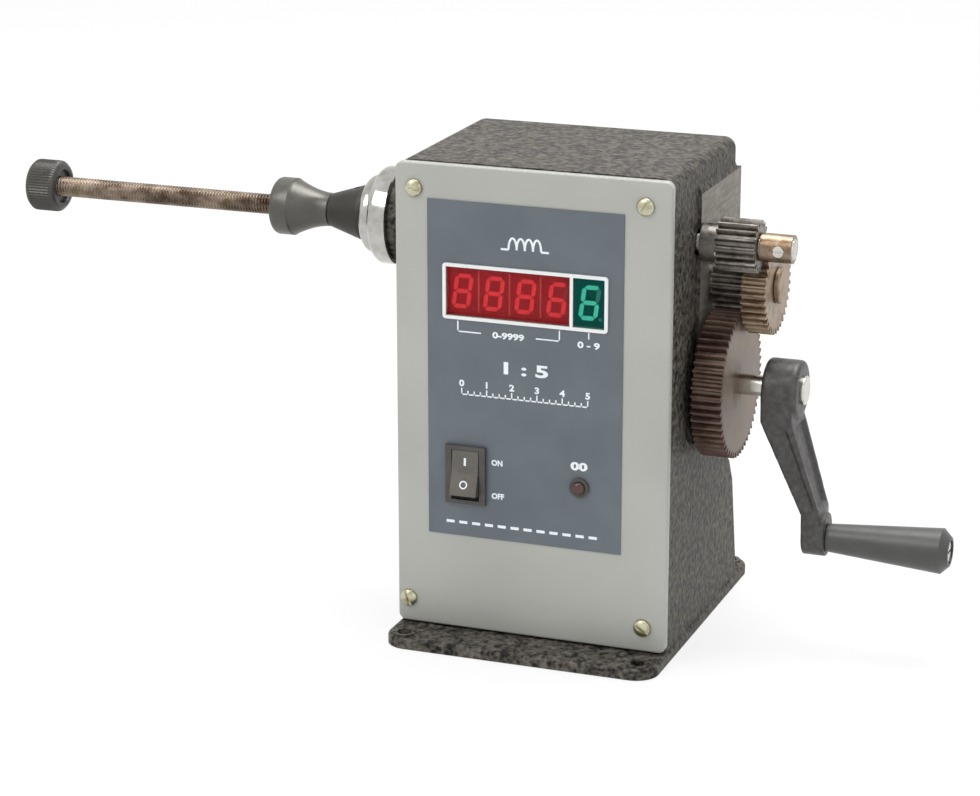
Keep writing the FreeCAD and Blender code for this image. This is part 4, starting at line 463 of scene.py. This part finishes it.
def window(name, color, alpha):
    """A tinted clear window: part of what is behind shows through."""
    f = Finish(name, color, roughness=0.08, Specular_IOR_Level=0.2)
    f.shader.inputs["Alpha"].default_value = alpha
    f.roughness(f.span(f.noise(9.0), 0.3, 0.7, 0.05, 0.12))
    f.bump(f.noise(12.0, detail=1.0), 0.02, 0.3)
    return f.material


def lit(name, color, glow, strength):
    """A lit diffuser bar of a digit, slightly uneven as a moulded bar over one lamp is."""
    f = Finish(name, color, roughness=0.35).glow(glow, strength)
    f.color(f.blend(f.span(f.noise(1.8), 0.3, 0.7), color, tuple(v * 0.8 for v in color[:3]) + (1.0,)))
    f.bump(f.noise(0.5), 0.01, 0.4)
    return f.material


def windings():
    """Yellow tape over a winding, in lapped turns."""
    f = Finish("coil_tape", tint(196, 150, 52), roughness=0.4)
    bands = f.noise(1.2, detail=1.0, place=f.stretched(0.05, 0.05, 1.0))
    f.color(f.blend(f.span(bands, 0.4, 0.6), tint(176, 128, 40), tint(206, 164, 70)))
    f.bump(bands, 0.15, 0.7)
    return f.material


def laminations():
    """Stacked iron sheets, seen as fine lines along the stack."""
    f = Finish("laminations", tint(92, 92, 94), roughness=0.45, metallic=0.7)
    sheets = f.noise(0.6, detail=0.0, place=f.stretched(0.02, 1.0, 0.02))
    f.color(f.blend(f.span(sheets, 0.4, 0.6), tint(70, 68, 66), tint(112, 110, 108)))
    f.bump(sheets, 0.1, 0.8)
    return f.material


def circuit_board():
    f = Finish("solder_mask", tint(26, 84, 50), roughness=0.35)
    tracks = f.noise(1.6, detail=0.0, place=f.stretched(0.25, 1.0, 1.0))
    f.color(f.blend(f.span(tracks, 0.52, 0.56), tint(22, 76, 44), tint(40, 112, 66)))
    f.bump(tracks, 0.02, 0.5)
    return f.material


PAD_SETBACK, PAD_BELOW_CRANK, PAD_BELOW_TOP = 31.5, 21.3, 12.1
PAD_FRONT = high("front_panel").y + PAD_SETBACK
PAD_LOW = CRANK.z - PAD_BELOW_CRANK
PAD_HIGH = high("casting").z - PAD_BELOW_TOP

FINISHES = {
    "hammertone": hammertone(),
    "panel": panel_paint(),
    "overlay": overlay_print(),
    "white": plastic("white_plastic", tint(224, 227, 226), 0.3, spread=0.03),
    "ink": plastic("white_ink", tint(226, 232, 236), 0.5, grain=0.4, depth=0.005, spread=0.05),
    "black": plastic("black_plastic", tint(66, 64, 61), 0.38, spread=0.2),
    "rocker": plastic("rocker_plastic", tint(90, 85, 79), 0.3, spread=0.15),
    "button": plastic("button_plastic", tint(74, 48, 44), 0.12, spread=0.15),
    "grip": plastic("grip_plastic", tint(66, 67, 65), 0.4, grain=0.8, depth=0.03, spread=0.1),
    "component": plastic("component_epoxy", tint(38, 38, 38), 0.5),
    "zinc": metal("yellow_zinc", tint(202, 200, 176), 0.3, axis=1, wear=0.2, stain=tint(156, 148, 112)),
    "brass": metal("brass", tint(152, 135, 117), 0.3, wear=0.22, stain=tint(118, 98, 78)),
    "bronze": metal("bronze", tint(164, 144, 122), 0.36, wear=0.18, metallic=0.7,
                    stain=tint(120, 99, 80)),
    "bright": metal("bright_steel", tint(208, 206, 198), 0.22, wear=0.12),
    "bearing": metal("bearing_steel", tint(196, 197, 200), 0.15, wear=0.08),
    "cone_steel": metal("cone_steel", tint(92, 90, 85), 0.34, wear=0.2, metallic=0.6, depth=0.02),
    "dark_cone": metal("dark_cone", tint(60, 58, 54), 0.44, wear=0.25, metallic=0.6, depth=0.02),
    "oxide": metal("black_oxide", tint(76, 75, 72), 0.36, wear=0.25, metallic=0.6, line=0.4, depth=0.02),
    "gear_steel": metal("gear_steel", tint(140, 134, 127), 0.34, wear=0.3, metallic=0.8,
                        stain=tint(90, 85, 79)),
    "patina": drive_gear_metal(),
    "thread": thread_metal(),
    "chrome": chrome(),
    "cast": cast_paint("crank_paint", tint(51, 49, 48)),
    "red_window": window("red_window", tint(146, 4, 16), 0.30),
    "green_window": window("green_window", tint(8, 114, 100), 0.30),
    "red_face": plastic("red_module", tint(172, 10, 22), 0.35, spread=0.1),
    "green_face": plastic("green_module", tint(8, 98, 90), 0.35, spread=0.1),
    "red_segment": lit("red_segment", tint(232, 48, 56), tint(255, 50, 58), 0.18),
    "green_segment": lit("green_segment", tint(70, 205, 175), tint(60, 235, 190), 0.18),
    "red_unlit": plastic("red_unlit", tint(150, 20, 34), 0.35),
    "red_seam": plastic("red_seam", tint(196, 74, 62), 0.35),
    "green_unlit": plastic("green_unlit", tint(12, 112, 92), 0.35),
    "tape": windings(),
    "core": laminations(),
    "board": circuit_board(),
}

CAD_FINISHES = {
    "casting": "hammertone", "front_panel": "panel", "overlay": "overlay", "display_bezel": "white",
    "red_window": "red_window", "green_window": "green_window", "red_digits": "red_face",
    "green_digit": "green_face", "display_board": "board", "board_components": "component",
    "power_board": "board", "power_components": "component", "standoffs": "brass",
    "board_screws": "zinc", "switch_body": "black", "switch_rocker": "rocker",
    "switch_terminals": "brass", "button_housing": "black", "button_nut": "zinc", "button_cap": "button",
    "transformer_core": "core", "transformer_coil": "tape", "transformer_bracket": "zinc",
    "transformer_screws": "zinc", "cable_gland": "black", "gland_nut": "black",
    "sensor_bracket": "bright", "bracket_screws": "zinc", "sensor": "component",
    "encoder_disc": "black", "bearing_outer_rings": "bearing", "bearing_inner_rings": "bearing",
    "bearing_balls": "bearing", "bearing_cap": "chrome", "spindle": "thread", "inner_cone": "dark_cone",
    "outer_cone": "cone_steel", "end_nut": "oxide", "spindle_pinion": "gear_steel",
    "spindle_grub_screws": "oxide", "tail_collar": "brass", "collar_screw": "bright",
    "idler_stud": "bronze", "idler_nut": "zinc", "idler_spacer": "bright", "idler_bush": "bronze",
    "idler_pinion": "gear_steel", "idler_gear": "bronze", "crank_bush": "bronze",
    "crank_shaft": "bright", "shaft_collar": "bright", "shaft_collar_screw": "oxide",
    "drive_gear": "patina", "drive_key": "gear_steel", "crank_arm": "cast", "crank_screw": "bright",
    "grip_pin": "bright", "grip": "grip", "panel_screws": "zinc",
}


def finish_cad_nodes():
    """Give every CAD node its material."""
    for name, node in nodes.items():
        node.data.materials.clear()
        node.data.materials.append(FINISHES[CAD_FINISHES[name]])


# ---------------------------------------------------------------- mesh kit
def piece(name, mesh, finish, body, smooth=35.0):
    """Put a finished mesh in the scene, riding on its body."""
    mesh.materials.clear()
    mesh.materials.append(FINISHES[finish])
    if smooth:
        mesh.shade_smooth()
        mesh.set_sharp_from_angle(angle=math.radians(smooth))
    made = bpy.data.objects.new(name, mesh)
    bpy.context.scene.collection.objects.link(made)
    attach(made, body)
    return made


def mesh_of(name, fill):
    """A mesh from a function that fills a bmesh, with its faces turned outwards."""
    build = bmesh.new()
    fill(build)
    bmesh.ops.remove_doubles(build, verts=build.verts, dist=mm(0.001))
    bmesh.ops.recalc_face_normals(build, faces=build.faces)
    mesh = bpy.data.meshes.new(name)
    build.to_mesh(mesh)
    build.free()
    return mesh


def ring_of(build, across, radius, axis, segments, ripple=None):
    """A ring of points round a line along X. ripple gives each angle's change of radius."""
    ring = []
    for i in range(segments):
        turn = 2 * math.pi * i / segments
        r = radius + (ripple(turn) if ripple else 0.0)
        spot = mm(across, axis.y + r * math.cos(turn), axis.z + r * math.sin(turn))
        ring.append(build.verts.new(spot))
    return ring


def skin(build, rings, closed=False):
    """Faces between rings that follow one another."""
    pairs = list(zip(rings, rings[1:]))
    if closed:
        pairs.append((rings[-1], rings[0]))
    for first, second in pairs:
        count = len(first)
        for i in range(count):
            j = (i + 1) % count
            build.faces.new((first[i], first[j], second[j], second[i]))


def lathe(name, profile, axis, segments=96, closed=True, ripple=None):
    """A turned mesh from (across, radius) corners in millimetres, round a line along X.

    ripple(across, radius) may return a function of the angle, for knurled or toothed stretches."""
    def fill(build):
        rings = [ring_of(build, across, radius, axis, segments, ripple and ripple(across, radius))
                 for across, radius in profile]
        skin(build, rings, closed)
        if not closed:
            build.faces.new(rings[0])
            build.faces.new(rings[-1])
    return mesh_of(name, fill)


def arc(centre, radius, start, end, steps=6):
    """Points on an arc of a profile, angles in degrees."""
    points = []
    for i in range(steps + 1):
        turn = math.radians(start + (end - start) * i / steps)
        points.append((centre[0] + radius * math.cos(turn), centre[1] + radius * math.sin(turn)))
    return points


def plate(name, outline, depth, place=Matrix.Identity(4)):
    """A flat plate from an outline of (across, height) corners, facing -Y, with its back at y = 0."""
    def fill(build):
        front = [build.verts.new(mm(x, -depth, z)) for x, z in outline]
        back = [build.verts.new(mm(x, 0.0, z)) for x, z in outline]
        build.faces.new(front)
        build.faces.new(list(reversed(back)))
        count = len(outline)
        for i in range(count):
            j = (i + 1) % count
            build.faces.new((front[i], back[i], back[j], front[j]))
    mesh = mesh_of(name, fill)
    mesh.transform(place)
    return mesh


def join(name, meshes):
    """Several meshes as one."""
    build = bmesh.new()
    for mesh in meshes:
        build.from_mesh(mesh)
    joined = bpy.data.meshes.new(name)
    build.to_mesh(joined)
    build.free()
    return joined


def at(across, back, height):
    return Matrix.Translation(mm(across, back, height))


def carved(mesh, cutter):
    """A mesh less another, as a new mesh."""
    base = bpy.data.objects.new("carve_base", mesh)
    tool = bpy.data.objects.new("carve_tool", cutter)
    for made in (base, tool):
        bpy.context.scene.collection.objects.link(made)
    change = base.modifiers.new("carve", "BOOLEAN")
    change.operation = "DIFFERENCE"
    change.solver = "EXACT"
    change.object = tool
    graph = bpy.context.evaluated_depsgraph_get()
    result = bpy.data.meshes.new_from_object(base.evaluated_get(graph))
    for made in (base, tool):
        bpy.data.objects.remove(made)
    return result


def block(name, corner, size):
    """A box from its lowest corner and its size, in millimetres."""
    def fill(build):
        made = bmesh.ops.create_cube(build, size=1.0)
        bmesh.ops.scale(build, vec=mm(*size), verts=made["verts"])
        centre = Vector(corner) + Vector(size) / 2
        bmesh.ops.translate(build, vec=centre * MM, verts=made["verts"])
    return mesh_of(name, fill)


# ---------------------------------------------------------------- coil rod, cones and end nut
THREAD_PITCH = 1.25
THREAD_DEPTH = 0.55
ROD_RADIUS = 4.0
ROWS_PER_TURN = 8
BORE = 4.05                        # bore of the cone and the nut, with its running fit
SEAT_RADIUS, MIDDLE_RADIUS = 5.0, 6.0
BEARING_WIDTH = 8.0


def threaded_spindle():
    """The spindle with its real thread on the coil rod, cut inside the plain solid."""
    start = low("spindle").x
    end = high("spindle").x
    thread_end = high("outer_cone").x + 1.0
    segments = 40
    rows = round((thread_end - start) / THREAD_PITCH * ROWS_PER_TURN)

    def ridge(share):
        """Depth below the crest over one pitch: flat crest, sloping flanks, flat root."""
        share = share % 1.0
        if share < 0.15:
            return 0.0
        if share < 0.45:
            return (share - 0.15) / 0.30
        if share < 0.65:
            return 1.0
        return 1.0 - (share - 0.65) / 0.35

    def fill(build):
        rings = [ring_of(build, start, ROD_RADIUS - 1.2, SPINDLE, segments)]
        for row in range(rows + 1):
            across = start + 0.4 + (thread_end - start - 0.4) * row / rows
            fade = min(1.0, (across - start) / 1.2, (thread_end - across) / 2.0 + 0.02)

            def depth(turn, across=across, fade=fade):
                share = (across - start) / THREAD_PITCH - turn / (2 * math.pi)
                return -THREAD_DEPTH * (ridge(share) * max(fade, 0.0) + (1 - max(fade, 0.0)) * 0.3)
            rings.append(ring_of(build, across, ROD_RADIUS, SPINDLE, segments, depth))
        for across, radius in spindle_steps(thread_end):
            rings.append(ring_of(build, across, radius, SPINDLE, segments))
        rings.append(ring_of(build, end, ROD_RADIUS - 0.5, SPINDLE, segments))
        skin(build, rings)
        build.faces.new(rings[0])
        build.faces.new(rings[-1])

    mesh = mesh_of("spindle_threaded", fill)
    made = piece("spindle_threaded", mesh, "thread", "spindle", smooth=50.0)
    made.data.materials.append(FINISHES["bright"])
    ground = mm(high("bearing_cap").x)
    for face in made.data.polygons:
        face.material_index = int(face.center.x > ground)
    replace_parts(made, "spindle")


def spindle_steps(thread_end):
    """The plain stretches of the spindle, as (across, radius) corners."""
    journal = low("bearing_cap").x - 0.5
    middle_start = low("bearing_inner_rings").x + BEARING_WIDTH
    middle_end = high("bearing_inner_rings").x - BEARING_WIDTH
    tail_start = high("bearing_inner_rings").x + 0.3
    end = high("spindle").x
    return [(thread_end + 0.4, ROD_RADIUS), (journal, ROD_RADIUS), (journal, SEAT_RADIUS),
            (middle_start, SEAT_RADIUS), (middle_start, MIDDLE_RADIUS), (middle_end, MIDDLE_RADIUS),
            (middle_end, SEAT_RADIUS), (tail_start, SEAT_RADIUS), (tail_start, ROD_RADIUS),
            (end - 0.5, ROD_RADIUS)]


def outer_cone():
    """Clamping cone with a cylindrical band, a shallow step and a hollow-curved taper."""
    left = low("outer_cone").x
    right = high("outer_cone").x
    wide, narrow, band, hollow = 11.2, 6.5, 8.0, 1.75
    band_end = left + band
    profile = [(left, BORE), (left, wide - 1.6)]
    profile += [(left + 0.3, wide - 1.0), (left + 0.9, wide - 0.35), (left + 1.8, wide)]
    profile += [(band_end - 0.25, wide), (band_end, wide - 0.25)]
    steps = 18
    for i in range(1, steps + 1):
        share = i / steps
        radius = narrow + (wide - 0.25 - narrow) * (1 - share) ** hollow
        profile.append((band_end + (right - 0.3 - band_end) * share, radius))
    profile += [(right, narrow - 0.3), (right, BORE)]
    mesh = lathe("outer_cone_turned", profile, SPINDLE)
    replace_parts(piece("outer_cone_turned", mesh, "cone_steel", "outer_cone"), "outer_cone")


def end_nut():
    """Round nut with a fine straight knurl and a recess round the rod."""
    left = low("end_nut").x
    right = high("end_nut").x
    outside, recess, recess_depth, knurl_fade = 10.3, 6.6, 1.5, 2.2
    ridges = 56
    knurl_depth = 0.38

    def ripple(across, radius):
        if radius < outside - 0.6:
            return None
        share = min(1.0, (across - left) / knurl_fade, (right - across) / knurl_fade)
        return lambda turn: -knurl_depth * share * (0.5 - 0.5 * math.cos(ridges * turn))

    profile = [(left, BORE), (left, outside - 2.2), (left + 0.5, outside - 1.1), (left + 1.6, outside - 0.1)]
    profile += [(left + 2.4, outside), (left + 6.0, outside), (right - 2.4, outside)]
    profile += [(right - 1.6, outside - 0.1), (right - 0.5, outside - 1.1), (right, outside - 2.2)]
    profile += [(right, recess + 0.4), (right - 0.4, recess), (right - recess_depth, recess)]
    profile += [(right - recess_depth, BORE)]
    mesh = lathe("end_nut_knurled", profile, SPINDLE, segments=ridges * 6, ripple=ripple)
    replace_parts(piece("end_nut_knurled", mesh, "oxide", "end_nut", smooth=45.0), "end_nut")


def bearing_cap():
    """Chrome cap: a rounded stepped hub on a rounded flange."""
    left = low("bearing_cap").x
    spigot, hub_length, rounding = 0.5, 5.0, 3.2
    right = high("bearing_cap").x - spigot
    step = left + hub_length
    hub, flange, bore, well, well_depth = 15.2, 19.0, 6.0, 10.9, 4.25
    profile = [(left, bore), (left, hub - 3.6)]
    profile += arc((left + rounding, hub - rounding), rounding, 180, 90, 10)
    profile += [(step - 0.4, hub), (step - 0.1, hub + 0.12), (step, hub + 0.4)]
    profile += arc((step + rounding, flange - rounding), rounding, 180, 90, 10)
    profile += [(right - 0.4, flange), (right, flange - 0.4), (right, well), (right - well_depth, well)]
    profile += [(right - well_depth, bore)]
    mesh = lathe("bearing_cap_turned", profile, SPINDLE, segments=128)
    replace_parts(piece("bearing_cap_turned", mesh, "chrome", "base"), "bearing_cap")


# ---------------------------------------------------------------- fasteners
SCREW_HEAD = 3.4


def slotted_screw(name, across, height, turn):
    """A domed, slotted panel screw, its slot turned by some degrees."""
    face = high("overlay").y
    head, rise, shank = SCREW_HEAD, 1.9, 1.7
    profile = [(0.0, 0.001), (0.0, 0.8), (0.12, 1.7), (0.42, 2.6), (0.85, 3.15), (1.25, head), (rise, head)]
    profile += [(rise, shank), (rise + 8.0, shank), (rise + 8.5, shank - 0.5), (rise + 8.5, 0.001)]
    axis = Vector((0.0, 0.0, 0.0))
    solid = lathe(name, profile, axis, segments=48, closed=False)
    groove = block(name + "_slot", (-0.5, -head - 1.0, -0.5), (1.35, 2 * head + 2.0, 1.0))
    cut = carved(solid, groove)
    cut.transform(Matrix.Rotation(math.radians(turn), 4, "X"))
    cut.transform(Matrix.Rotation(math.radians(90.0), 4, "Z"))
    cut.transform(at(across, face - rise, height))
    return cut


def panel_screws():
    """The four panel screws, each slot at its own angle."""
    bottom, top = low("panel_screws").z + SCREW_HEAD, high("panel_screws").z - SCREW_HEAD
    # across, height and the slot's turn in degrees
    spots = [(-49.6, bottom, 70.0), (45.0, bottom, 32.0), (-46.4, top, 12.0), (43.9, top, 128.0)]
    heads = [slotted_screw("panel_screw", x, z, turn) for x, z, turn in spots]
    made = piece("panel_screws_domed", join("panel_screws_domed", heads), "zinc", "base")
    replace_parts(made, "panel_screws")


# ---------------------------------------------------------------- display
SEGMENTS_OF = {"8": "abcdefg", "6": "acdefg"}
DIGIT_SLANT = math.tan(math.radians(8.0))
BAR_RELIEF = 0.12
POINT_RADIUS = 0.65
FIGURE_WIDE, FIGURE_TALL, FIGURE_BAR = 7.4, 13.4, 1.65
FIGURE_SHIFT, FIGURE_SPREAD, FIGURE_DROP = 0.35, 0.27, 0.2


def segment_outline(kind, wide, tall, bar):
    """One bar of a seven-bar digit about the digit's middle, before it is slanted."""
    half, gap = bar / 2, 0.18
    x, z = wide / 2 - half, tall / 2 - half
    flat = {"a": (0, z), "g": (0, 0), "d": (0, -z)}
    upright = {"f": (-x, z / 2), "b": (x, z / 2), "e": (-x, -z / 2), "c": (x, -z / 2)}
    if kind in flat:
        cx, cz = flat[kind]
        reach = x - gap
        points = [(-reach, 0), (-reach + half, half), (reach - half, half), (reach, 0),
                  (reach - half, -half), (-reach + half, -half)]
    else:
        cx, cz = upright[kind]
        reach = z / 2 - gap
        points = [(0, -reach), (-half, -reach + half), (-half, reach - half), (0, reach),
                  (half, reach - half), (half, -reach + half)]
    return [(cx + px + (cz + pz) * DIGIT_SLANT, cz + pz) for px, pz in points]


def digit(figure, across, height, back, wide, tall, bar):
    """The lit and unlit bars of one digit, and its point, on a module's face."""
    on, off = [], []
    for kind in "abcdefg":
        mesh = plate("bar", segment_outline(kind, wide, tall, bar), BAR_RELIEF, at(across, back, height))
        (on if kind in SEGMENTS_OF[figure] else off).append(mesh)
    dot = [(wide / 2 + 0.55 + POINT_RADIUS * math.cos(t * math.pi / 8) - tall / 2 * DIGIT_SLANT * 0.2,
            -tall / 2 + POINT_RADIUS + POINT_RADIUS * math.sin(t * math.pi / 8)) for t in range(16)]
    off.append(plate("point", dot, BAR_RELIEF, at(across, back, height)))
    return on, off


def display_digits():
    """Four red figures and one green one on the module faces, with pale seams between the modules."""
    faces = (("red_digits", "8886", "red"), ("green_digit", "6", "green"))
    for node, figures, color in faces:
        left, right = low(node), high(node)
        step = (right.x - left.x + 0.1) / len(figures)
        on, off = [], []
        for i, figure in enumerate(figures):
            across = left.x + (i + 0.5) * step - FIGURE_SHIFT + FIGURE_SPREAD * i
            lit_bars, dark_bars = digit(figure, across, middle(node).z - FIGURE_DROP, left.y,
                                        FIGURE_WIDE, FIGURE_TALL, FIGURE_BAR)
            on += lit_bars
            off += dark_bars
        piece(f"{color}_bars_lit", join("bars_lit", on), f"{color}_segment", "base", 0)
        piece(f"{color}_bars_dark", join("bars_dark", off), f"{color}_unlit", "base", 0)
    left, right = low("red_digits"), high("red_digits")
    step = (right.x - left.x + 0.1) / 4
    rim = [(-0.3, -8.0), (0.3, -8.0), (0.3, 8.0), (-0.3, 8.0)]
    seams = [plate("seam", rim, 0.1, at(left.x + i * step, left.y, middle("red_digits").z))
             for i in (1, 2, 3)]
    piece("red_seams", join("red_seams", seams), "red_seam", "base", 0)


# ---------------------------------------------------------------- printed marks
PRINT_THICKNESS = 0.05


def lettering(name, words, across, height, size, stretch=1.0, bold=0.12):
    """A short line of printed characters on the overlay, centred on a point."""
    curve = bpy.data.curves.new(name, "FONT")
    curve.body = words
    curve.size = mm(size)
    curve.align_x = "CENTER"
    curve.align_y = "CENTER"
    curve.extrude = mm(PRINT_THICKNESS / 2)
    curve.offset = mm(bold)
    curve.resolution_u = 3
    loose = bpy.data.objects.new(name, curve)
    bpy.context.scene.collection.objects.link(loose)
    graph = bpy.context.evaluated_depsgraph_get()
    mesh = bpy.data.meshes.new_from_object(loose.evaluated_get(graph))
    bpy.data.objects.remove(loose)
    mesh.transform(Matrix.Diagonal((stretch, 1, 1, 1)))
    mesh.transform(Matrix.Rotation(math.radians(90), 4, "X"))
    mesh.transform(at(across, FACE - PRINT_THICKNESS / 2, height))
    return piece(name, mesh, "ink", "base", smooth=0)


def stroke(points, width):
    """A printed line of one width through points, as a list of plates."""
    plates = []
    for (x0, z0), (x1, z1) in zip(points, points[1:]):
        length = math.hypot(x1 - x0, z1 - z0)
        turn = math.atan2(z1 - z0, x1 - x0)
        outline = [(-width / 2, -width / 2), (length + width / 2, -width / 2),
                   (length + width / 2, width / 2), (-width / 2, width / 2)]
        place = at(x0, FACE, z0) @ Matrix.Rotation(-turn, 4, "Y")
        plates.append(plate("stroke", outline, PRINT_THICKNESS, place))
    return plates


def printed_lines(name, lines, width):
    plates = [made for points in lines for made in stroke(points, width)]
    return piece(name, join(name, plates), "ink", "base", smooth=0)


def ribbon(points, width, rise=0.0):
    """A printed band of one width along a smooth run of points, standing rise millimetres further out."""
    above, below = [], []
    last = len(points) - 1
    for i, (x, z) in enumerate(points):
        x0, z0 = points[max(i - 1, 0)]
        x1, z1 = points[min(i + 1, last)]
        length = math.hypot(x1 - x0, z1 - z0)
        side = (z1 - z0) / length * width / 2
        lift = (x1 - x0) / length * width / 2
        above.append((x - side, z + lift))
        below.append((x + side, z - lift))
    return plate("ribbon", above + below[::-1], PRINT_THICKNESS, at(0.0, FACE - rise, 0.0))


def coil_mark(across, height):
    """A plain winding symbol: a run of open loops between two leads."""
    loops = 4
    radius, rise, step, lead = 1.6, 4.4, 3.2, 3.0
    start = across - step * (loops - 1) / 2
    foot = height - rise / 2
    width, stagger = 0.8, 0.012
    end = start + step * (loops - 1) + radius
    bands = [ribbon([(start - radius - lead, foot), (start - radius, foot)], width, 2 * stagger),
             ribbon([(end, foot), (end + lead, foot)], width, 2 * stagger)]
    for i in range(loops):
        centre = start + step * i
        loop = [(centre + radius * math.cos(math.radians(t)), foot + rise * math.sin(math.radians(t)))
                for t in range(180, -1, -10)]
        bands.append(ribbon(loop, width, stagger * (i % 2)))
    return piece("mark_winding", join("mark_winding", bands), "ink", "base", smooth=0)


def printed_marks():
    """Everything printed on the overlay: plain numbers, ON and OFF, brackets and rules."""
    coil_mark(-2.4, 158.7)
    bottom = low("display_bezel").z
    left = low("red_digits").x + 4.5
    right = high("red_digits").x - 4.0
    green = middle("green_digit").x
    drop = bottom - 4.7
    lines = [[(left, bottom - 0.9), (left, drop), (left + 9.0, drop)],
             [(right - 9.0, drop), (right, drop), (right, bottom - 0.9)],
             [(green, bottom - 0.7), (green, bottom - 2.7)]]
    printed_lines("mark_brackets", lines, 0.5)
    lettering("mark_range", "0-9999", (left + right) / 2, drop - 0.3, 3.3, stretch=1.35)
    lettering("mark_single", "0 - 9", green, bottom - 5.4, 3.3, stretch=1.4)
    lettering("mark_ratio", "1 : 5", -2.6, 110.6, 6.4, stretch=1.75, bold=0.2)
    ruler(-2.4, 101.2, 50.0)
    lettering("mark_on", "ON", -13.2, 73.1, 3.0, stretch=0.95)
    lettering("mark_off", "OFF", -12.9, 59.9, 3.0, stretch=0.95)
    lettering("mark_reset", "00", 19.4, 75.4, 4.2, stretch=1.55, bold=0.2)
    dashes = [[(-33.2 + 5.2 * i, 48.0), (-31.0 + 5.2 * i, 48.0)] for i in range(12)]
    printed_lines("mark_dashes", dashes, 1.1)


def ruler(across, height, length):
    """A plain rule with a number at each centimetre."""
    start = across - length / 2
    lines = [[(start, height - 2.2), (start + length, height - 2.2)]]
    for i in range(int(length / 2.5) + 1):
        tall = 2.2 if i % 4 == 0 else 1.2
        lines.append([(start + 2.5 * i, height - 2.2), (start + 2.5 * i, height - 2.2 + tall)])
    printed_lines("mark_rule", lines, 0.5)
    for i in range(int(length / 10) + 1):
        lettering(f"mark_rule_{i}", str(i), start + 10 * i, height + 2.0, 3.4, stretch=1.2)


# ---------------------------------------------------------------- switch and button
def rocker_marks():
    """A bar and a ring moulded on the rocker's two halves."""
    pivot = Vector((middle("switch_rocker").x, low("switch_body").y + 4.0, CONTROLS))
    tilt = Matrix.Rotation(math.radians(-12.0), 4, "X")
    slope = math.atan2(1.0, 8.7)
    bar = plate("bar", [(-0.45, -1.5), (0.45, -1.5), (0.45, 1.5), (-0.45, 1.5)], 0.08)
    count = 24
    ring = []
    for i in range(count):
        first, second = (2 * math.pi * k / count for k in (i, i + 1))
        ring.append(plate("arc", [(1.1 * math.cos(first), 1.1 * math.sin(first)),
                                  (1.6 * math.cos(first), 1.6 * math.sin(first)),
                                  (1.6 * math.cos(second), 1.6 * math.sin(second)),
                                  (1.1 * math.cos(second), 1.1 * math.sin(second))], 0.08))
    ring = join("ring", ring)
    marks = []
    for mesh, side in ((bar, 1), (ring, -1)):
        lean = Matrix.Rotation(side * slope, 4, "X")
        spot = at(0.0, -5.1, side * 4.4)
        mesh.transform(at(*pivot) @ tilt @ spot @ lean)
        marks.append(mesh)
    piece("rocker_marks", join("rocker_marks", marks), "ink", "rocker", smooth=0)


# ---------------------------------------------------------------- crank arm
def crank_arm():
    """The cast arm with its edges softened as the sand mould leaves them."""
    source = nodes["crank_arm"]
    mesh = source.data.copy()
    loose = bpy.data.objects.new("crank_arm_loose", mesh)
    bpy.context.scene.collection.objects.link(loose)
    voxels = loose.modifiers.new("voxels", "REMESH")
    voxels.mode = "VOXEL"
    voxels.voxel_size = mm(0.45)
    smooth = loose.modifiers.new("smooth", "SMOOTH")
    smooth.factor = 0.5
    smooth.iterations = 7
    graph = bpy.context.evaluated_depsgraph_get()
    soft = bpy.data.meshes.new_from_object(loose.evaluated_get(graph))
    bpy.data.objects.remove(loose)
    made = piece("crank_arm_cast", soft, "cast", "crank", smooth=80.0)
    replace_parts(made, "crank_arm")


# ---------------------------------------------------------------- build
add_camera()
add_world()
add_floor()
for lamp in LAMPS:
    add_light(*lamp)
finish_cad_nodes()
threaded_spindle()
outer_cone()
end_nut()
bearing_cap()
panel_screws()
display_digits()
printed_marks()
rocker_marks()
crank_arm()

view = bpy.context.scene.view_settings
view.view_transform = "Standard"
